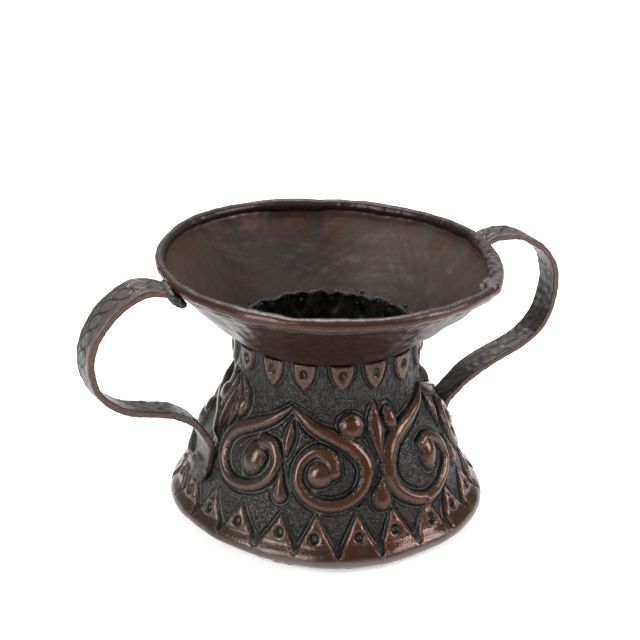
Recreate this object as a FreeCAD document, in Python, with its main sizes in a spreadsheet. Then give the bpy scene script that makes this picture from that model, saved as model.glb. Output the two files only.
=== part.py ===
import FreeCAD, Part

# Two-handled raised copper vessel: a waisted foot and neck made of one sheet, a plain
# conical mouth with a rolled rim, two bent strap handles, and the solder that joins them.
# Millimetres. +Z up, the handles along X, origin on the ground at the centre of the foot.

import math
import os

import Sketcher

OUTPUT_FOLDER = "parts"
LARGEST_EDGE_MISMATCH = 1e-4
HOLE_DEPTH_IN_WALLS = 3

# How Sketcher numbers a sketch's own origin and the ends and centre of a line or arc.
ORIGIN = (-1, 1)
START, END, CENTRE = 1, 2, 3

SIZES = {
    "foot_radius": 51.6,
    "foot_bulge_radius": 58.4,
    "foot_bulge_height": 5.2,
    "foot_waist_radius": 52.4,
    "foot_waist_height": 9.0,
    "belly_radius": 43.3,
    "belly_height": 32.0,
    "neck_radius": 33.0,
    "shoulder_height": 50.0,
    "neck_height": 67.4,
    "foot_edge_bend": 1.5,
    "foot_bulge_bend": 2.6,
    "foot_waist_bend": 2.4,
    "belly_bend": 30.0,
    "shoulder_bend": 12.0,
    "body_wall": 1.0,
    "ledge_width": 4.5,
    "floor_thickness": 1.0,
    "floor_clearance": 0.2,
    "floor_solder_leg": 1.6,
    "mouth_wall": 0.8,
    "rim_radius": 57.4,
    "rim_height": 92.8,
    "roll_radius": 2.2,
    "roll_sweep": 290.0,
    "wire_clearance": 0.05,
    "neck_solder_leg": 1.5,
    "neck_solder_thickness": 0.9,
    "patch_thickness": 0.5,
    "patch_sweep": 9.0,
    "patch_azimuth": -36.0,
    "patch_upper_edge": 200.0,
    "patch_lower_edge": -40.0,
    "strap_width": 11.0,
    "strap_thickness": 2.2,
    "strap_edge_bend": 0.7,
    "strap_clearance": 0.05,
    "handle_start_height": 84.4,
    "handle_lift": 6.0,
    "handle_crown_reach": 71.0,
    "handle_crown_bend": 14.0,
    "handle_reach": 90.0,
    "handle_upper_height": 79.5,
    "handle_upper_bend": 16.0,
    "handle_lower_height": 61.5,
    "handle_lower_bend": 14.0,
    "handle_return_reach": 80.4,
    "handle_return_height": 50.2,
    "handle_return_bend": 14.0,
    "handle_knee_reach": 54.6,
    "handle_knee_height": 42.4,
    "handle_knee_bend": 10.0,
    "handle_landing_height": 30.0,
    "handle_landing_bend": 6.0,
    "handle_end_height": 21.6,
    "upper_braze_length": 4.4,
    "upper_braze_depth": 3.0,
    "lower_braze_length": 5.2,
    "lower_braze_depth": 2.9,
    "braze_margin": 1.5,
}

# Slope of the mouth, measured from the vertical, so that the sheet runs tangentially into the roll,
# which turns inwards over the wire.
MOUTH_RUN = "(Sizes.rim_radius - Sizes.neck_radius)"
MOUTH_RISE = "(Sizes.rim_height - Sizes.neck_height)"
ROLL_BORE = "(Sizes.roll_radius - Sizes.mouth_wall)"
MOUTH_REACH = f"sqrt({MOUTH_RUN} ^ 2 + {MOUTH_RISE} ^ 2)"
MOUTH_SLOPE = f"(atan({MOUTH_RUN} / {MOUTH_RISE}) + asin(Sizes.roll_radius / {MOUTH_REACH}))"
ROLL_START_HEIGHT = f"(Sizes.rim_height - Sizes.roll_radius * sin({MOUTH_SLOPE}))"
MOUTH_FOOT_RADIUS = f"(Sizes.neck_radius - Sizes.mouth_wall / cos({MOUTH_SLOPE}))"

# Slope of the body between the foot's waist and the belly.
BODY_RUN = "(Sizes.foot_waist_radius - Sizes.belly_radius)"
BODY_RISE = "(Sizes.belly_height - Sizes.foot_waist_height)"
BODY_SLOPE = f"atan({BODY_RUN} / {BODY_RISE})"

# Flare of the foot from its turned-under edge to the bulge.
FOOT_FLARE = "((Sizes.foot_bulge_radius - Sizes.foot_radius) / Sizes.foot_bulge_height)"

# The middle of a strap keeps half its thickness and a clearance from whatever it lies on.
STRAP_OFFSET = "(Sizes.strap_thickness / 2 + Sizes.strap_clearance)"
START_RUN = (
    f"(Sizes.neck_radius + (Sizes.handle_start_height - Sizes.neck_height) * tan({MOUTH_SLOPE})"
    f" + {STRAP_OFFSET} * cos({MOUTH_SLOPE}))"
)
START_HEIGHT = f"(Sizes.handle_start_height - {STRAP_OFFSET} * sin({MOUTH_SLOPE}))"
STRAP_LEAN = f"({MOUTH_SLOPE} + Sizes.handle_lift * 1 deg)"
CROWN_HEIGHT = f"({START_HEIGHT} + (Sizes.handle_crown_reach - {START_RUN}) / tan({STRAP_LEAN}))"


def inner_foot_radius(height):
    """Radius of the inside of the foot's flare at a height, as an expression."""
    return (
        f"(Sizes.foot_radius + {height} * {FOOT_FLARE}"
        f" - Sizes.body_wall * sqrt(1 + {FOOT_FLARE} ^ 2))"
    )


def strap_on_body(height):
    """Radius of a strap's middle where it lies on the body at a height, as an expression."""
    return (
        f"(Sizes.belly_radius + (Sizes.belly_height - {height}) * {BODY_RUN} / {BODY_RISE}"
        f" + {STRAP_OFFSET} / cos({BODY_SLOPE}))"
    )


def fill_sheet(document):
    """Write every size into a spreadsheet, one row each."""
    sheet = document.addObject("Spreadsheet::Sheet", "Sizes")
    for row, (name, number) in enumerate(SIZES.items(), start=1):
        sheet.set(f"A{row}", name.replace("_", " "))
        sheet.set(f"B{row}", str(number))
        sheet.setAlias(f"B{row}", name)
    document.recompute()
    return sheet


document = FreeCAD.newDocument("Vessel")
sheet = fill_sheet(document)


def value(expression):
    """Number that an expression of the sizes gives now."""
    result = sheet.evalExpression(expression)
    return float(getattr(result, "Value", result))


def new_body(label):
    """Empty body that carries a sub-part's name."""
    body = document.addObject("PartDesign::Body", label)
    body.Label = label
    return body


def new_sketch(body, name, role="XZ_Plane"):
    """Sketch on one of the body's own origin planes."""
    sketch = body.newObject("Sketcher::SketchObject", name)
    plane = next(item for item in body.Origin.OriginFeatures if item.Role == role)
    sketch.AttachmentSupport = (plane, [""])
    sketch.MapMode = "FlatFace"
    return sketch


def bind(sketch, constraint, expression):
    """Add a constraint whose number follows an expression."""
    index = sketch.addConstraint(constraint)
    sketch.setExpression(f"Constraints[{index}]", expression)


def pin(sketch, geometry, end, across, up):
    """Fix a point of the sketch at two distances from its origin."""
    bind(sketch, Sketcher.Constraint("DistanceX", *ORIGIN, geometry, end, value(across)), across)
    bind(sketch, Sketcher.Constraint("DistanceY", *ORIGIN, geometry, end, value(up)), up)


def bend_limits(before, corner, after, radius):
    """Where a bend starts and stops, its centre, and whether it turns left."""
    arriving = (corner - before).normalize()
    leaving = (after - corner).normalize()
    turn = math.atan2(arriving.x * leaving.y - arriving.y * leaving.x, arriving.dot(leaving))
    length = radius * math.tan(abs(turn) / 2)
    start = corner - arriving * length
    stop = corner + leaving * length
    inward = FreeCAD.Vector(-arriving.y, arriving.x, 0) * math.copysign(radius, turn)
    return start, stop, start + inward, turn > 0


def angle_about(centre, point):
    """Direction of a point seen from a centre, in radians."""
    return math.atan2(point.y - centre.y, point.x - centre.x)


def draw_chain(sketch, corners, closed):
    """Straight lines through corners, each corner sharp or bent to its own radius.

    A corner is (across, up, bend), all expressions; a sharp corner has no bend.
    """
    count = len(corners)
    points = [FreeCAD.Vector(value(across), value(up), 0) for across, up, bend in corners]
    entries = list(points)
    exits = list(points)
    bends = {}
    for index, (across, up, bend) in enumerate(corners):
        if bend is None:
            continue
        before = points[index - 1]
        after = points[(index + 1) % count]
        bends[index] = bend_limits(before, points[index], after, value(bend))
        entries[index], exits[index] = bends[index][:2]

    lines = []
    for index in range(count if closed else count - 1):
        following = (index + 1) % count
        line = Part.LineSegment(exits[index], entries[following])
        lines.append(sketch.addGeometry(line, False))

    for index, (across, up, bend) in enumerate(corners):
        if bend is None:
            first_of_open_chain = index == 0 and not closed
            line = lines[0] if first_of_open_chain else lines[index - 1]
            pin(sketch, line, START if first_of_open_chain else END, across, up)
            last_of_open_chain = index == count - 1 and not closed
            if not first_of_open_chain and not last_of_open_chain:
                joint = Sketcher.Constraint("Coincident", lines[index - 1], END, lines[index], START)
                sketch.addConstraint(joint)
            continue
        start, stop, centre, left = bends[index]
        limits = (start, stop) if left else (stop, start)
        from_angle, to_angle = (angle_about(centre, limit) for limit in limits)
        circle = Part.Circle(centre, FreeCAD.Vector(0, 0, 1), value(bend))
        arc = sketch.addGeometry(Part.ArcOfCircle(circle, from_angle, to_angle), False)
        corner = sketch.addGeometry(Part.Point(points[index]), True)
        entry_end, exit_end = (START, END) if left else (END, START)
        pin(sketch, corner, START, across, up)
        sketch.addConstraint(Sketcher.Constraint("PointOnObject", corner, START, lines[index - 1]))
        sketch.addConstraint(Sketcher.Constraint("PointOnObject", corner, START, lines[index]))
        sketch.addConstraint(Sketcher.Constraint("Tangent", lines[index - 1], END, arc, entry_end))
        sketch.addConstraint(Sketcher.Constraint("Tangent", arc, exit_end, lines[index], START))
        bind(sketch, Sketcher.Constraint("Radius", arc, value(bend)), bend)


def revolve(body, sketch, name, angle="360"):
    """Turn a sketch about the vessel's axis."""
    turned = body.newObject("PartDesign::Revolution", name)
    turned.Profile = sketch
    turned.ReferenceAxis = (sketch, ["V_Axis"])
    turned.setExpression("Angle", angle)
    document.recompute()
    return turned


def flat_face_at(shape, height):
    """Name of the level face at a height."""
    for index, face in enumerate(shape.Faces, start=1):
        box = face.BoundBox
        if box.ZLength < LARGEST_EDGE_MISMATCH and abs(box.ZMin - height) < LARGEST_EDGE_MISMATCH:
            return f"Face{index}"
    raise RuntimeError(f"no level face at height {height}")


def make_body_shell():
    """Foot, belly and neck: one sheet, open above, its lower edge turned in as a ledge."""
    body = new_body("body_shell")
    outline = new_sketch(body, "BodyOutline")
    draw_chain(
        outline,
        [
            ("0", "0", None),
            ("Sizes.foot_radius", "0", "Sizes.foot_edge_bend"),
            ("Sizes.foot_bulge_radius", "Sizes.foot_bulge_height", "Sizes.foot_bulge_bend"),
            ("Sizes.foot_waist_radius", "Sizes.foot_waist_height", "Sizes.foot_waist_bend"),
            ("Sizes.belly_radius", "Sizes.belly_height", "Sizes.belly_bend"),
            ("Sizes.neck_radius", "Sizes.shoulder_height", "Sizes.shoulder_bend"),
            ("Sizes.neck_radius", "Sizes.neck_height", None),
            ("0", "Sizes.neck_height", None),
        ],
        closed=True,
    )
    solid = revolve(body, outline, "BodySolid")
    hollow = body.newObject("PartDesign::Thickness", "BodyHollow")
    hollow.Base = (solid, [flat_face_at(solid.Shape, value("Sizes.neck_height"))])
    hollow.Mode = "Skin"
    hollow.Join = "Arc"
    hollow.Reversed = True
    hollow.setExpression("Value", "Sizes.body_wall")
    document.recompute()
    opening = new_sketch(body, "FootOpening", "XY_Plane")
    draw_circle(opening, "Sizes.foot_radius - Sizes.ledge_width")
    hole = body.newObject("PartDesign::Pocket", "FootHole")
    hole.Profile = opening
    hole.Midplane = True
    hole.setExpression("Length", f"Sizes.body_wall * {HOLE_DEPTH_IN_WALLS}")
    document.recompute()
    if hole.Shape.Volume >= hollow.Shape.Volume:
        raise RuntimeError("the foot's opening removed nothing")
    return body


def draw_circle(sketch, radius):
    """Circle about the sketch's origin."""
    circle = Part.Circle(FreeCAD.Vector(), FreeCAD.Vector(0, 0, 1), value(radius))
    index = sketch.addGeometry(circle, False)
    sketch.addConstraint(Sketcher.Constraint("Coincident", index, CENTRE, *ORIGIN))
    bind(sketch, Sketcher.Constraint("Radius", index, value(radius)), radius)


def make_bottom_disc():
    """Floor of the vessel, resting on the foot's ledge."""
    body = new_body("bottom_disc")
    outline = new_sketch(body, "FloorOutline", "XY_Plane")
    draw_circle(outline, f"{inner_foot_radius('Sizes.body_wall')} - Sizes.floor_clearance")
    disc = body.newObject("PartDesign::Pad", "Floor")
    disc.Profile = outline
    disc.setExpression("Length", "Sizes.floor_thickness")
    body.setExpression("Placement.Base.z", "Sizes.body_wall")
    return body


def make_bottom_seam_solder():
    """Fillet of solder in the corner between the floor and the foot's inside."""
    body = new_body("bottom_seam_solder")
    section = new_sketch(body, "FloorSolderSection")
    low = "(Sizes.body_wall + Sizes.floor_thickness)"
    high = f"({low} + Sizes.floor_solder_leg)"
    wall_low = inner_foot_radius(low)
    draw_chain(
        section,
        [
            (f"{wall_low} - Sizes.floor_solder_leg", low, None),
            (wall_low, low, None),
            (inner_foot_radius(high), high, None),
        ],
        closed=True,
    )
    revolve(body, section, "FloorSolderRing")
    return body


def make_mouth_funnel():
    """Conical sheet whose upper edge is rolled inwards over a wire."""
    body = new_body("mouth_funnel")
    section = new_sketch(body, "MouthSection")
    slope = math.radians(value(MOUTH_SLOPE))
    along = FreeCAD.Vector(math.sin(slope), math.cos(slope), 0)
    outward = FreeCAD.Vector(along.y, -along.x, 0)
    centre = FreeCAD.Vector(value("Sizes.rim_radius"), value("Sizes.rim_height"), 0)
    outer_foot = FreeCAD.Vector(value("Sizes.neck_radius"), value("Sizes.neck_height"), 0)
    inner_foot = FreeCAD.Vector(value(MOUTH_FOOT_RADIUS), outer_foot.y, 0)
    start = angle_about(FreeCAD.Vector(), outward)
    stop = start + math.radians(value("Sizes.roll_sweep"))
    edge = FreeCAD.Vector(math.cos(stop), math.sin(stop), 0)
    roll = value("Sizes.roll_radius")
    bore = value(ROLL_BORE)
    upright = FreeCAD.Vector(0, 0, 1)
    bottom, outer, inner, cap, roll_arc, bore_arc = section.addGeometry(
        [
            Part.LineSegment(inner_foot, outer_foot),
            Part.LineSegment(outer_foot, centre + outward * roll),
            Part.LineSegment(inner_foot, centre + outward * bore),
            Part.LineSegment(centre + edge * roll, centre + edge * bore),
            Part.ArcOfCircle(Part.Circle(centre, upright, roll), start, stop),
            Part.ArcOfCircle(Part.Circle(centre, upright, bore), start, stop),
        ],
        False,
    )
    section.addConstraint(
        [
            Sketcher.Constraint("Coincident", bottom, START, inner, START),
            Sketcher.Constraint("Coincident", bottom, END, outer, START),
            Sketcher.Constraint("Horizontal", bottom),
            Sketcher.Constraint("Parallel", inner, outer),
            Sketcher.Constraint("Coincident", roll_arc, CENTRE, bore_arc, CENTRE),
            Sketcher.Constraint("Tangent", outer, END, roll_arc, START),
            Sketcher.Constraint("Tangent", inner, END, bore_arc, START),
            Sketcher.Constraint("Coincident", cap, START, roll_arc, END),
            Sketcher.Constraint("Coincident", cap, END, bore_arc, END),
            Sketcher.Constraint("PointOnObject", roll_arc, CENTRE, cap),
        ]
    )
    pin(section, outer, START, "Sizes.neck_radius", "Sizes.neck_height")
    pin(section, roll_arc, CENTRE, "Sizes.rim_radius", "Sizes.rim_height")
    bind(section, Sketcher.Constraint("Radius", roll_arc, roll), "Sizes.roll_radius")
    bind(section, Sketcher.Constraint("Radius", bore_arc, bore), ROLL_BORE)
    lean = f"Sizes.roll_sweep * 1 deg - {MOUTH_SLOPE} - 180 deg"
    bind(section, Sketcher.Constraint("Angle", cap, math.radians(value(lean))), lean)
    revolve(body, section, "MouthSheet")
    return body


def make_rim_wire():
    """Wire inside the rolled rim."""
    wire = document.addObject("Part::Torus", "rim_wire")
    wire.Label = "rim_wire"
    wire.setExpression("Radius1", "Sizes.rim_radius")
    wire.setExpression("Radius2", f"{ROLL_BORE} - Sizes.wire_clearance")
    wire.setExpression("Placement.Base.z", "Sizes.rim_height")
    return wire


def make_neck_seam_solder():
    """Bead of solder inside the throat, over the joint between the neck and the mouth."""
    body = new_body("neck_seam_solder")
    section = new_sketch(body, "NeckSolderSection")
    neck_inside = "(Sizes.neck_radius - Sizes.body_wall)"
    draw_chain(
        section,
        [
            (neck_inside, "Sizes.neck_height - Sizes.neck_solder_leg", None),
            (neck_inside, "Sizes.neck_height", None),
            (MOUTH_FOOT_RADIUS, "Sizes.neck_height", None),
            (
                f"{MOUTH_FOOT_RADIUS} + Sizes.neck_solder_leg * sin({MOUTH_SLOPE})",
                f"Sizes.neck_height + Sizes.neck_solder_leg * cos({MOUTH_SLOPE})",
                None,
            ),
            (f"{neck_inside} - Sizes.neck_solder_thickness", "Sizes.neck_height", None),
        ],
        closed=True,
    )
    revolve(body, section, "NeckSolderRing")
    return body


def make_rim_patch():
    """Short sleeve of solder over the place where the two ends of the rolled rim meet."""
    body = new_body("rim_patch")
    section = new_sketch(body, "PatchSection")
    centre = FreeCAD.Vector(value("Sizes.rim_radius"), value("Sizes.rim_height"), 0)
    start = math.radians(value("Sizes.patch_lower_edge"))
    stop = math.radians(value("Sizes.patch_upper_edge"))
    outside = "(Sizes.roll_radius + Sizes.patch_thickness)"
    arcs = []
    for radius in ("Sizes.roll_radius", outside):
        circle = Part.Circle(centre, FreeCAD.Vector(0, 0, 1), value(radius))
        arc = section.addGeometry(Part.ArcOfCircle(circle, start, stop), False)
        pin(section, arc, CENTRE, "Sizes.rim_radius", "Sizes.rim_height")
        bind(section, Sketcher.Constraint("Radius", arc, value(radius)), radius)
        arcs.append(arc)
    for end, lean in ((START, "Sizes.patch_lower_edge"), (END, "Sizes.patch_upper_edge")):
        turn = math.radians(value(lean))
        outward = FreeCAD.Vector(math.cos(turn), math.sin(turn), 0)
        ends = [centre + outward * value(radius) for radius in ("Sizes.roll_radius", outside)]
        side = section.addGeometry(Part.LineSegment(*ends), False)
        section.addConstraint(Sketcher.Constraint("Coincident", side, START, arcs[0], end))
        section.addConstraint(Sketcher.Constraint("Coincident", side, END, arcs[1], end))
        section.addConstraint(Sketcher.Constraint("PointOnObject", arcs[0], CENTRE, side))
        bind(section, Sketcher.Constraint("Angle", side, turn), lean)
    revolve(body, section, "PatchSleeve", "Sizes.patch_sweep")
    body.Placement = FreeCAD.Placement(
        FreeCAD.Vector(), FreeCAD.Rotation(FreeCAD.Vector(0, 0, 1), value("Sizes.patch_azimuth"))
    )
    body.setExpression("Placement.Rotation.Angle", "Sizes.patch_azimuth")
    return body


def make_handle(label, side):
    """Strap bent from under the rim, out and round, down on to the body. Side is 1 or -1."""
    body = new_body(label)
    path = new_sketch(body, f"{label}_path")
    corners = [
        (START_RUN, START_HEIGHT, None),
        ("Sizes.handle_crown_reach", CROWN_HEIGHT, "Sizes.handle_crown_bend"),
        ("Sizes.handle_reach", "Sizes.handle_upper_height", "Sizes.handle_upper_bend"),
        ("Sizes.handle_reach", "Sizes.handle_lower_height", "Sizes.handle_lower_bend"),
        ("Sizes.handle_return_reach", "Sizes.handle_return_height", "Sizes.handle_return_bend"),
        ("Sizes.handle_knee_reach", "Sizes.handle_knee_height", "Sizes.handle_knee_bend"),
        (
            strap_on_body("Sizes.handle_landing_height"),
            "Sizes.handle_landing_height",
            "Sizes.handle_landing_bend",
        ),
        (strap_on_body("Sizes.handle_end_height"), "Sizes.handle_end_height", None),
    ]
    draw_chain(path, [(f"{side} * {across}", up, bend) for across, up, bend in corners], closed=False)
    document.recompute()
    section = body.newObject("Sketcher::SketchObject", f"{label}_section")
    section.AttachmentSupport = [(path, "Edge1")]
    section.MapMode = "NormalToEdge"
    section.MapPathParameter = 0.0
    document.recompute()
    across = section.Placement.Rotation.multVec(FreeCAD.Vector(1, 0, 0))
    across_is_width = abs(across.y) > math.hypot(across.x, across.z)
    half_width = "Sizes.strap_width / 2"
    half_thickness = "Sizes.strap_thickness / 2"
    half_sizes = (half_width, half_thickness) if across_is_width else (half_thickness, half_width)
    draw_chain(
        section,
        [
            (f"{x} * {half_sizes[0]}", f"{y} * {half_sizes[1]}", "Sizes.strap_edge_bend")
            for x, y in ((-1, -1), (1, -1), (1, 1), (-1, 1))
        ],
        closed=True,
    )
    document.recompute()
    strap = body.newObject("PartDesign::AdditivePipe", f"{label}_strap")
    strap.Profile = section
    strap.Spine = (path, [""])
    document.recompute()
    return body


def make_cone_filling(name, low_radius, high_radius, low, high):
    """Solid cone that fills a sloping wall, used only to cut the brazes to it."""
    cone = document.addObject("Part::Cone", name)
    cone.setExpression("Radius1", low_radius)
    cone.setExpression("Radius2", high_radius)
    cone.setExpression("Height", f"{high} - {low}")
    cone.setExpression("Placement.Base.z", low)
    return cone


def make_rim_filling():
    """Solid ring the size of the rolled rim, used only to cut the brazes to it."""
    ring = document.addObject("Part::Torus", "RimFilling")
    ring.setExpression("Radius1", "Sizes.rim_radius")
    ring.setExpression("Radius2", "Sizes.roll_radius")
    ring.setExpression("Placement.Base.z", "Sizes.rim_height")
    return ring


def make_braze(label, side, across, up, lean, length, depth, cutters):
    """Lump of braze about a strap's end, cut to everything it touches."""
    lump = document.addObject("Part::Ellipsoid", f"{label}_lump")
    lump.setExpression("Radius1", length)
    lump.setExpression("Radius2", depth)
    lump.setExpression("Radius3", "Sizes.strap_width / 2 + Sizes.braze_margin")
    turn = FreeCAD.Rotation(FreeCAD.Vector(0, 1, 0), side * value(lean))
    place = FreeCAD.Vector(side * value(across), 0, value(up))
    lump.Placement = FreeCAD.Placement(place, turn)
    lump.setExpression("Placement.Base.x", f"{side} * {across}")
    lump.setExpression("Placement.Base.z", up)
    piece = lump
    for count, cutter in enumerate(cutters, start=1):
        cut = document.addObject("Part::Cut", f"{label}_cut{count}")
        cut.Base = piece
        cut.Tool = cutter
        piece = cut
    piece.Label = label
    document.recompute()
    return piece


def make_handle_with_brazes(name, side, mouth_filling, rim_filling, body_filling):
    """One handle and the two brazes that hold it."""
    handle = make_handle(name, side)
    upper = make_braze(
        f"{name}_upper_braze",
        side,
        START_RUN,
        START_HEIGHT,
        MOUTH_SLOPE,
        "Sizes.upper_braze_length",
        "Sizes.upper_braze_depth",
        (mouth_filling, rim_filling, handle),
    )
    lower = make_braze(
        f"{name}_lower_braze",
        side,
        strap_on_body("Sizes.handle_end_height"),
        "Sizes.handle_end_height",
        f"-{BODY_SLOPE}",
        "Sizes.lower_braze_length",
        "Sizes.lower_braze_depth",
        (body_filling, handle),
    )
    return [handle, upper, lower]


def build():
    """Every sub-part, in order from the ground up."""
    mouth_filling = make_cone_filling(
        "MouthFilling",
        "Sizes.neck_radius",
        f"Sizes.neck_radius + ({ROLL_START_HEIGHT} - Sizes.neck_height) * tan({MOUTH_SLOPE})",
        "Sizes.neck_height",
        ROLL_START_HEIGHT,
    )
    body_filling = make_cone_filling(
        "BodyFilling",
        "Sizes.foot_waist_radius",
        "Sizes.belly_radius",
        "Sizes.foot_waist_height",
        "Sizes.belly_height",
    )
    rim_filling = make_rim_filling()
    pieces = [
        make_body_shell(),
        make_bottom_disc(),
        make_bottom_seam_solder(),
        make_mouth_funnel(),
        make_neck_seam_solder(),
        make_rim_wire(),
        make_rim_patch(),
    ]
    for name, side in (("left_handle", -1), ("right_handle", 1)):
        pieces += make_handle_with_brazes(name, side, mouth_filling, rim_filling, body_filling)
    document.recompute()
    return pieces


def check(pieces):
    """Stop if any object failed or any sub-part isn't one valid solid."""
    for item in document.Objects:
        if "Invalid" in item.State or "Error" in item.State:
            raise RuntimeError(f"{item.Label} could not be computed")
    for piece in pieces:
        shape = piece.Shape
        if shape.isNull() or not shape.isValid() or len(shape.Solids) != 1:
            raise RuntimeError(f"{piece.Label} is not one valid solid")


def export(pieces):
    """Write each sub-part to its own file."""
    os.makedirs(OUTPUT_FOLDER, exist_ok=True)
    for piece in pieces:
        piece.Shape.exportStep(f"{OUTPUT_FOLDER}/{piece.Label}.step")


pieces = build()
check(pieces)
export(pieces)
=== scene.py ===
import math

import bpy
import numpy as np
from mathutils import Matrix, Vector


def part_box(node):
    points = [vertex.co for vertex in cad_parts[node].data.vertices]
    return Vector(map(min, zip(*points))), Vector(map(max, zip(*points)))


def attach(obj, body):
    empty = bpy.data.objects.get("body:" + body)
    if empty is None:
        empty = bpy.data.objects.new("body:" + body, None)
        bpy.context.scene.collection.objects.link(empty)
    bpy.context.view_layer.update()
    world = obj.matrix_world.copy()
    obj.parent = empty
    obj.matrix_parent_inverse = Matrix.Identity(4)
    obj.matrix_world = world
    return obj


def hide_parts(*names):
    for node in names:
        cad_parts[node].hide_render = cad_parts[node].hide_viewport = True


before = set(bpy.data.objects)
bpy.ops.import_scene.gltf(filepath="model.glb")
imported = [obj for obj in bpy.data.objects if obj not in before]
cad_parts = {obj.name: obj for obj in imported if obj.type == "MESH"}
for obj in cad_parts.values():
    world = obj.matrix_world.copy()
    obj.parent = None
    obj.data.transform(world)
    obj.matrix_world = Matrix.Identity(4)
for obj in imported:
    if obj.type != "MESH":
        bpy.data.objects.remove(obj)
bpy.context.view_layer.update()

bl_info = {
    "name": "Two-handled embossed copper pot",
    "version": (1, 0, 0),
    "blender": (4, 5, 0),
    "location": "3D View > Sidebar > Pot",
    "description": "Raised and embossed copper pot with two strap handles",
    "category": "Object",
}

MM = 0.001
BODY = "root"
FRONT_TURN = 116.0  # degrees from the right handle round to the side that is seen first, clockwise
FULL_TURN = 360.0
HALF_TURN = FULL_TURN / 2


# ---------------------------------------------------------------- sizes read from the frame


def node_box(node):
    """Lowest and highest corner of a solid, in millimetres."""
    low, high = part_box(node)
    return np.array(low) / MM, np.array(high) / MM


WIRE_LOW, WIRE_HIGH = node_box("rim_wire")
WIRE_RADIUS = (WIRE_HIGH[2] - WIRE_LOW[2]) / 2
RIM_HEIGHT = (WIRE_HIGH[2] + WIRE_LOW[2]) / 2
RIM_RADIUS = WIRE_HIGH[0] - WIRE_RADIUS
ROLL_RADIUS = node_box("mouth_funnel")[1][2] - RIM_HEIGHT
NECK_HEIGHT = node_box("body_shell")[1][2]
FLOOR_LOW, FLOOR_HIGH = node_box("bottom_disc")
STRAP_WIDTH = 2 * node_box("left_handle")[1][1]


OUTWARD_SHARE = 0.2  # how squarely a face has to look outwards to count as outside
GROUND_BAND = 0.1  # millimetres above the ground that still count as ground


def outer_profile(node):
    """Heights and radii of a turned solid's outside, from the ground up, and its least radius there."""
    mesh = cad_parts[node].data
    points = np.empty(len(mesh.vertices) * 3)
    normals = np.empty(len(mesh.polygons) * 3)
    centres = np.empty(len(mesh.polygons) * 3)
    mesh.vertices.foreach_get("co", points)
    mesh.polygons.foreach_get("normal", normals)
    mesh.polygons.foreach_get("center", centres)
    points, normals, centres = (part.reshape(-1, 3) for part in (points, normals, centres))
    outwards = (normals[:, :2] * centres[:, :2]).sum(axis=1)
    facing = np.flatnonzero(outwards > OUTWARD_SHARE * np.hypot(centres[:, 0], centres[:, 1]))
    corners = np.array([corner for index in facing for corner in mesh.polygons[index].vertices])
    outside = points[np.unique(corners)] / MM
    radii = np.hypot(outside[:, 0], outside[:, 1])
    levels = np.round(outside[:, 2], 2)
    heights = np.unique(levels)
    widest = np.array([radii[levels == height].max() for height in heights])
    ground = points[points[:, 2] < GROUND_BAND * MM]
    return heights, widest, np.hypot(ground[:, 0], ground[:, 1]).min() / MM


BODY_HEIGHTS, BODY_RADII, LEDGE_RADIUS = outer_profile("body_shell")
NECK_RADIUS = BODY_RADII[-1]
BODY_WALL = FLOOR_LOW[2]
MOUTH_WALL = 0.8  # millimetres, as in the solid


# ---------------------------------------------------------------- drawing helpers


def smooth_line(points, steps=12):
    """Curve through given points, with whatever else each point carries."""
    points = np.asarray(points, float)
    padded = np.vstack([2 * points[0] - points[1], points, 2 * points[-1] - points[-2]])
    along = np.arange(steps)[:, None] / steps
    runs = []
    for before, start, stop, after in zip(padded, padded[1:], padded[2:], padded[3:]):
        runs.append(
            0.5
            * (
                2 * start
                + (stop - before) * along
                + (2 * before - 5 * start + 4 * stop - after) * along**2
                + (3 * start - before - 3 * stop + after) * along**3
            )
        )
    return np.vstack(runs + [points[-1:]])


def step(low, high, value):
    """Smooth rise from 0 at low to 1 at high."""
    part = np.clip((value - low) / (high - low), 0, 1)
    return part * part * (3 - 2 * part)


def bell(offset, width):
    """Smooth bump: 1 where there is no offset, fading over a width either way."""
    return np.exp(-((offset / width) ** 2))


def turns(count):
    """Angles spaced evenly round a full turn, in degrees."""
    return np.arange(count) * FULL_TURN / count


def half_turned(degrees):
    """The same angles, from minus half a turn to half a turn."""
    return (degrees + HALF_TURN) % FULL_TURN - HALF_TURN


def unit_circle(degrees):
    """Points of a level circle of radius 1."""
    turn = np.radians(degrees)
    return np.stack([np.cos(turn), np.sin(turn), np.zeros_like(turn)], axis=-1)


def rough(points, pitch, seed, waves=22):
    """Smooth random field over points, about 1 high, with features about a pitch apart."""
    draw = np.random.default_rng(seed)
    directions = draw.normal(size=(waves, 3))
    directions /= np.linalg.norm(directions, axis=1)[:, None]
    numbers = directions * (2 * np.pi / pitch) * draw.uniform(0.6, 1.5, (waves, 1))
    phases = draw.uniform(0, 2 * np.pi, waves)
    total = np.zeros(points.shape[:-1])
    for number, phase in zip(numbers, phases):
        total += np.cos(points @ number + phase)
    return total / math.sqrt(waves / 2)


def turned(radii, heights, degrees):
    """Points of a turned form: one row for each angle, one column for each profile point."""
    turn = np.radians(degrees)[:, None]
    across = np.broadcast_to(radii, (len(degrees), np.shape(radii)[-1]))
    return np.stack(
        [across * np.cos(turn), across * np.sin(turn), np.broadcast_to(heights, across.shape)], axis=-1
    )


BEND_REACH = 17.0  # degrees over which one bend eases into the next


def bend_by(bends, seen):
    """Listed bends round a rim or foot, eased from one to the next."""
    places = np.array([bend[0] for bend in bends])
    apart = half_turned(half_turned(np.asarray(seen, float))[..., None] - places)
    weights = bell(apart, BEND_REACH) + 1e-9
    weights /= weights.sum(axis=-1, keepdims=True)
    return [weights @ np.array([bend[part] for bend in bends]) for part in range(1, len(bends[0]))]


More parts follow.
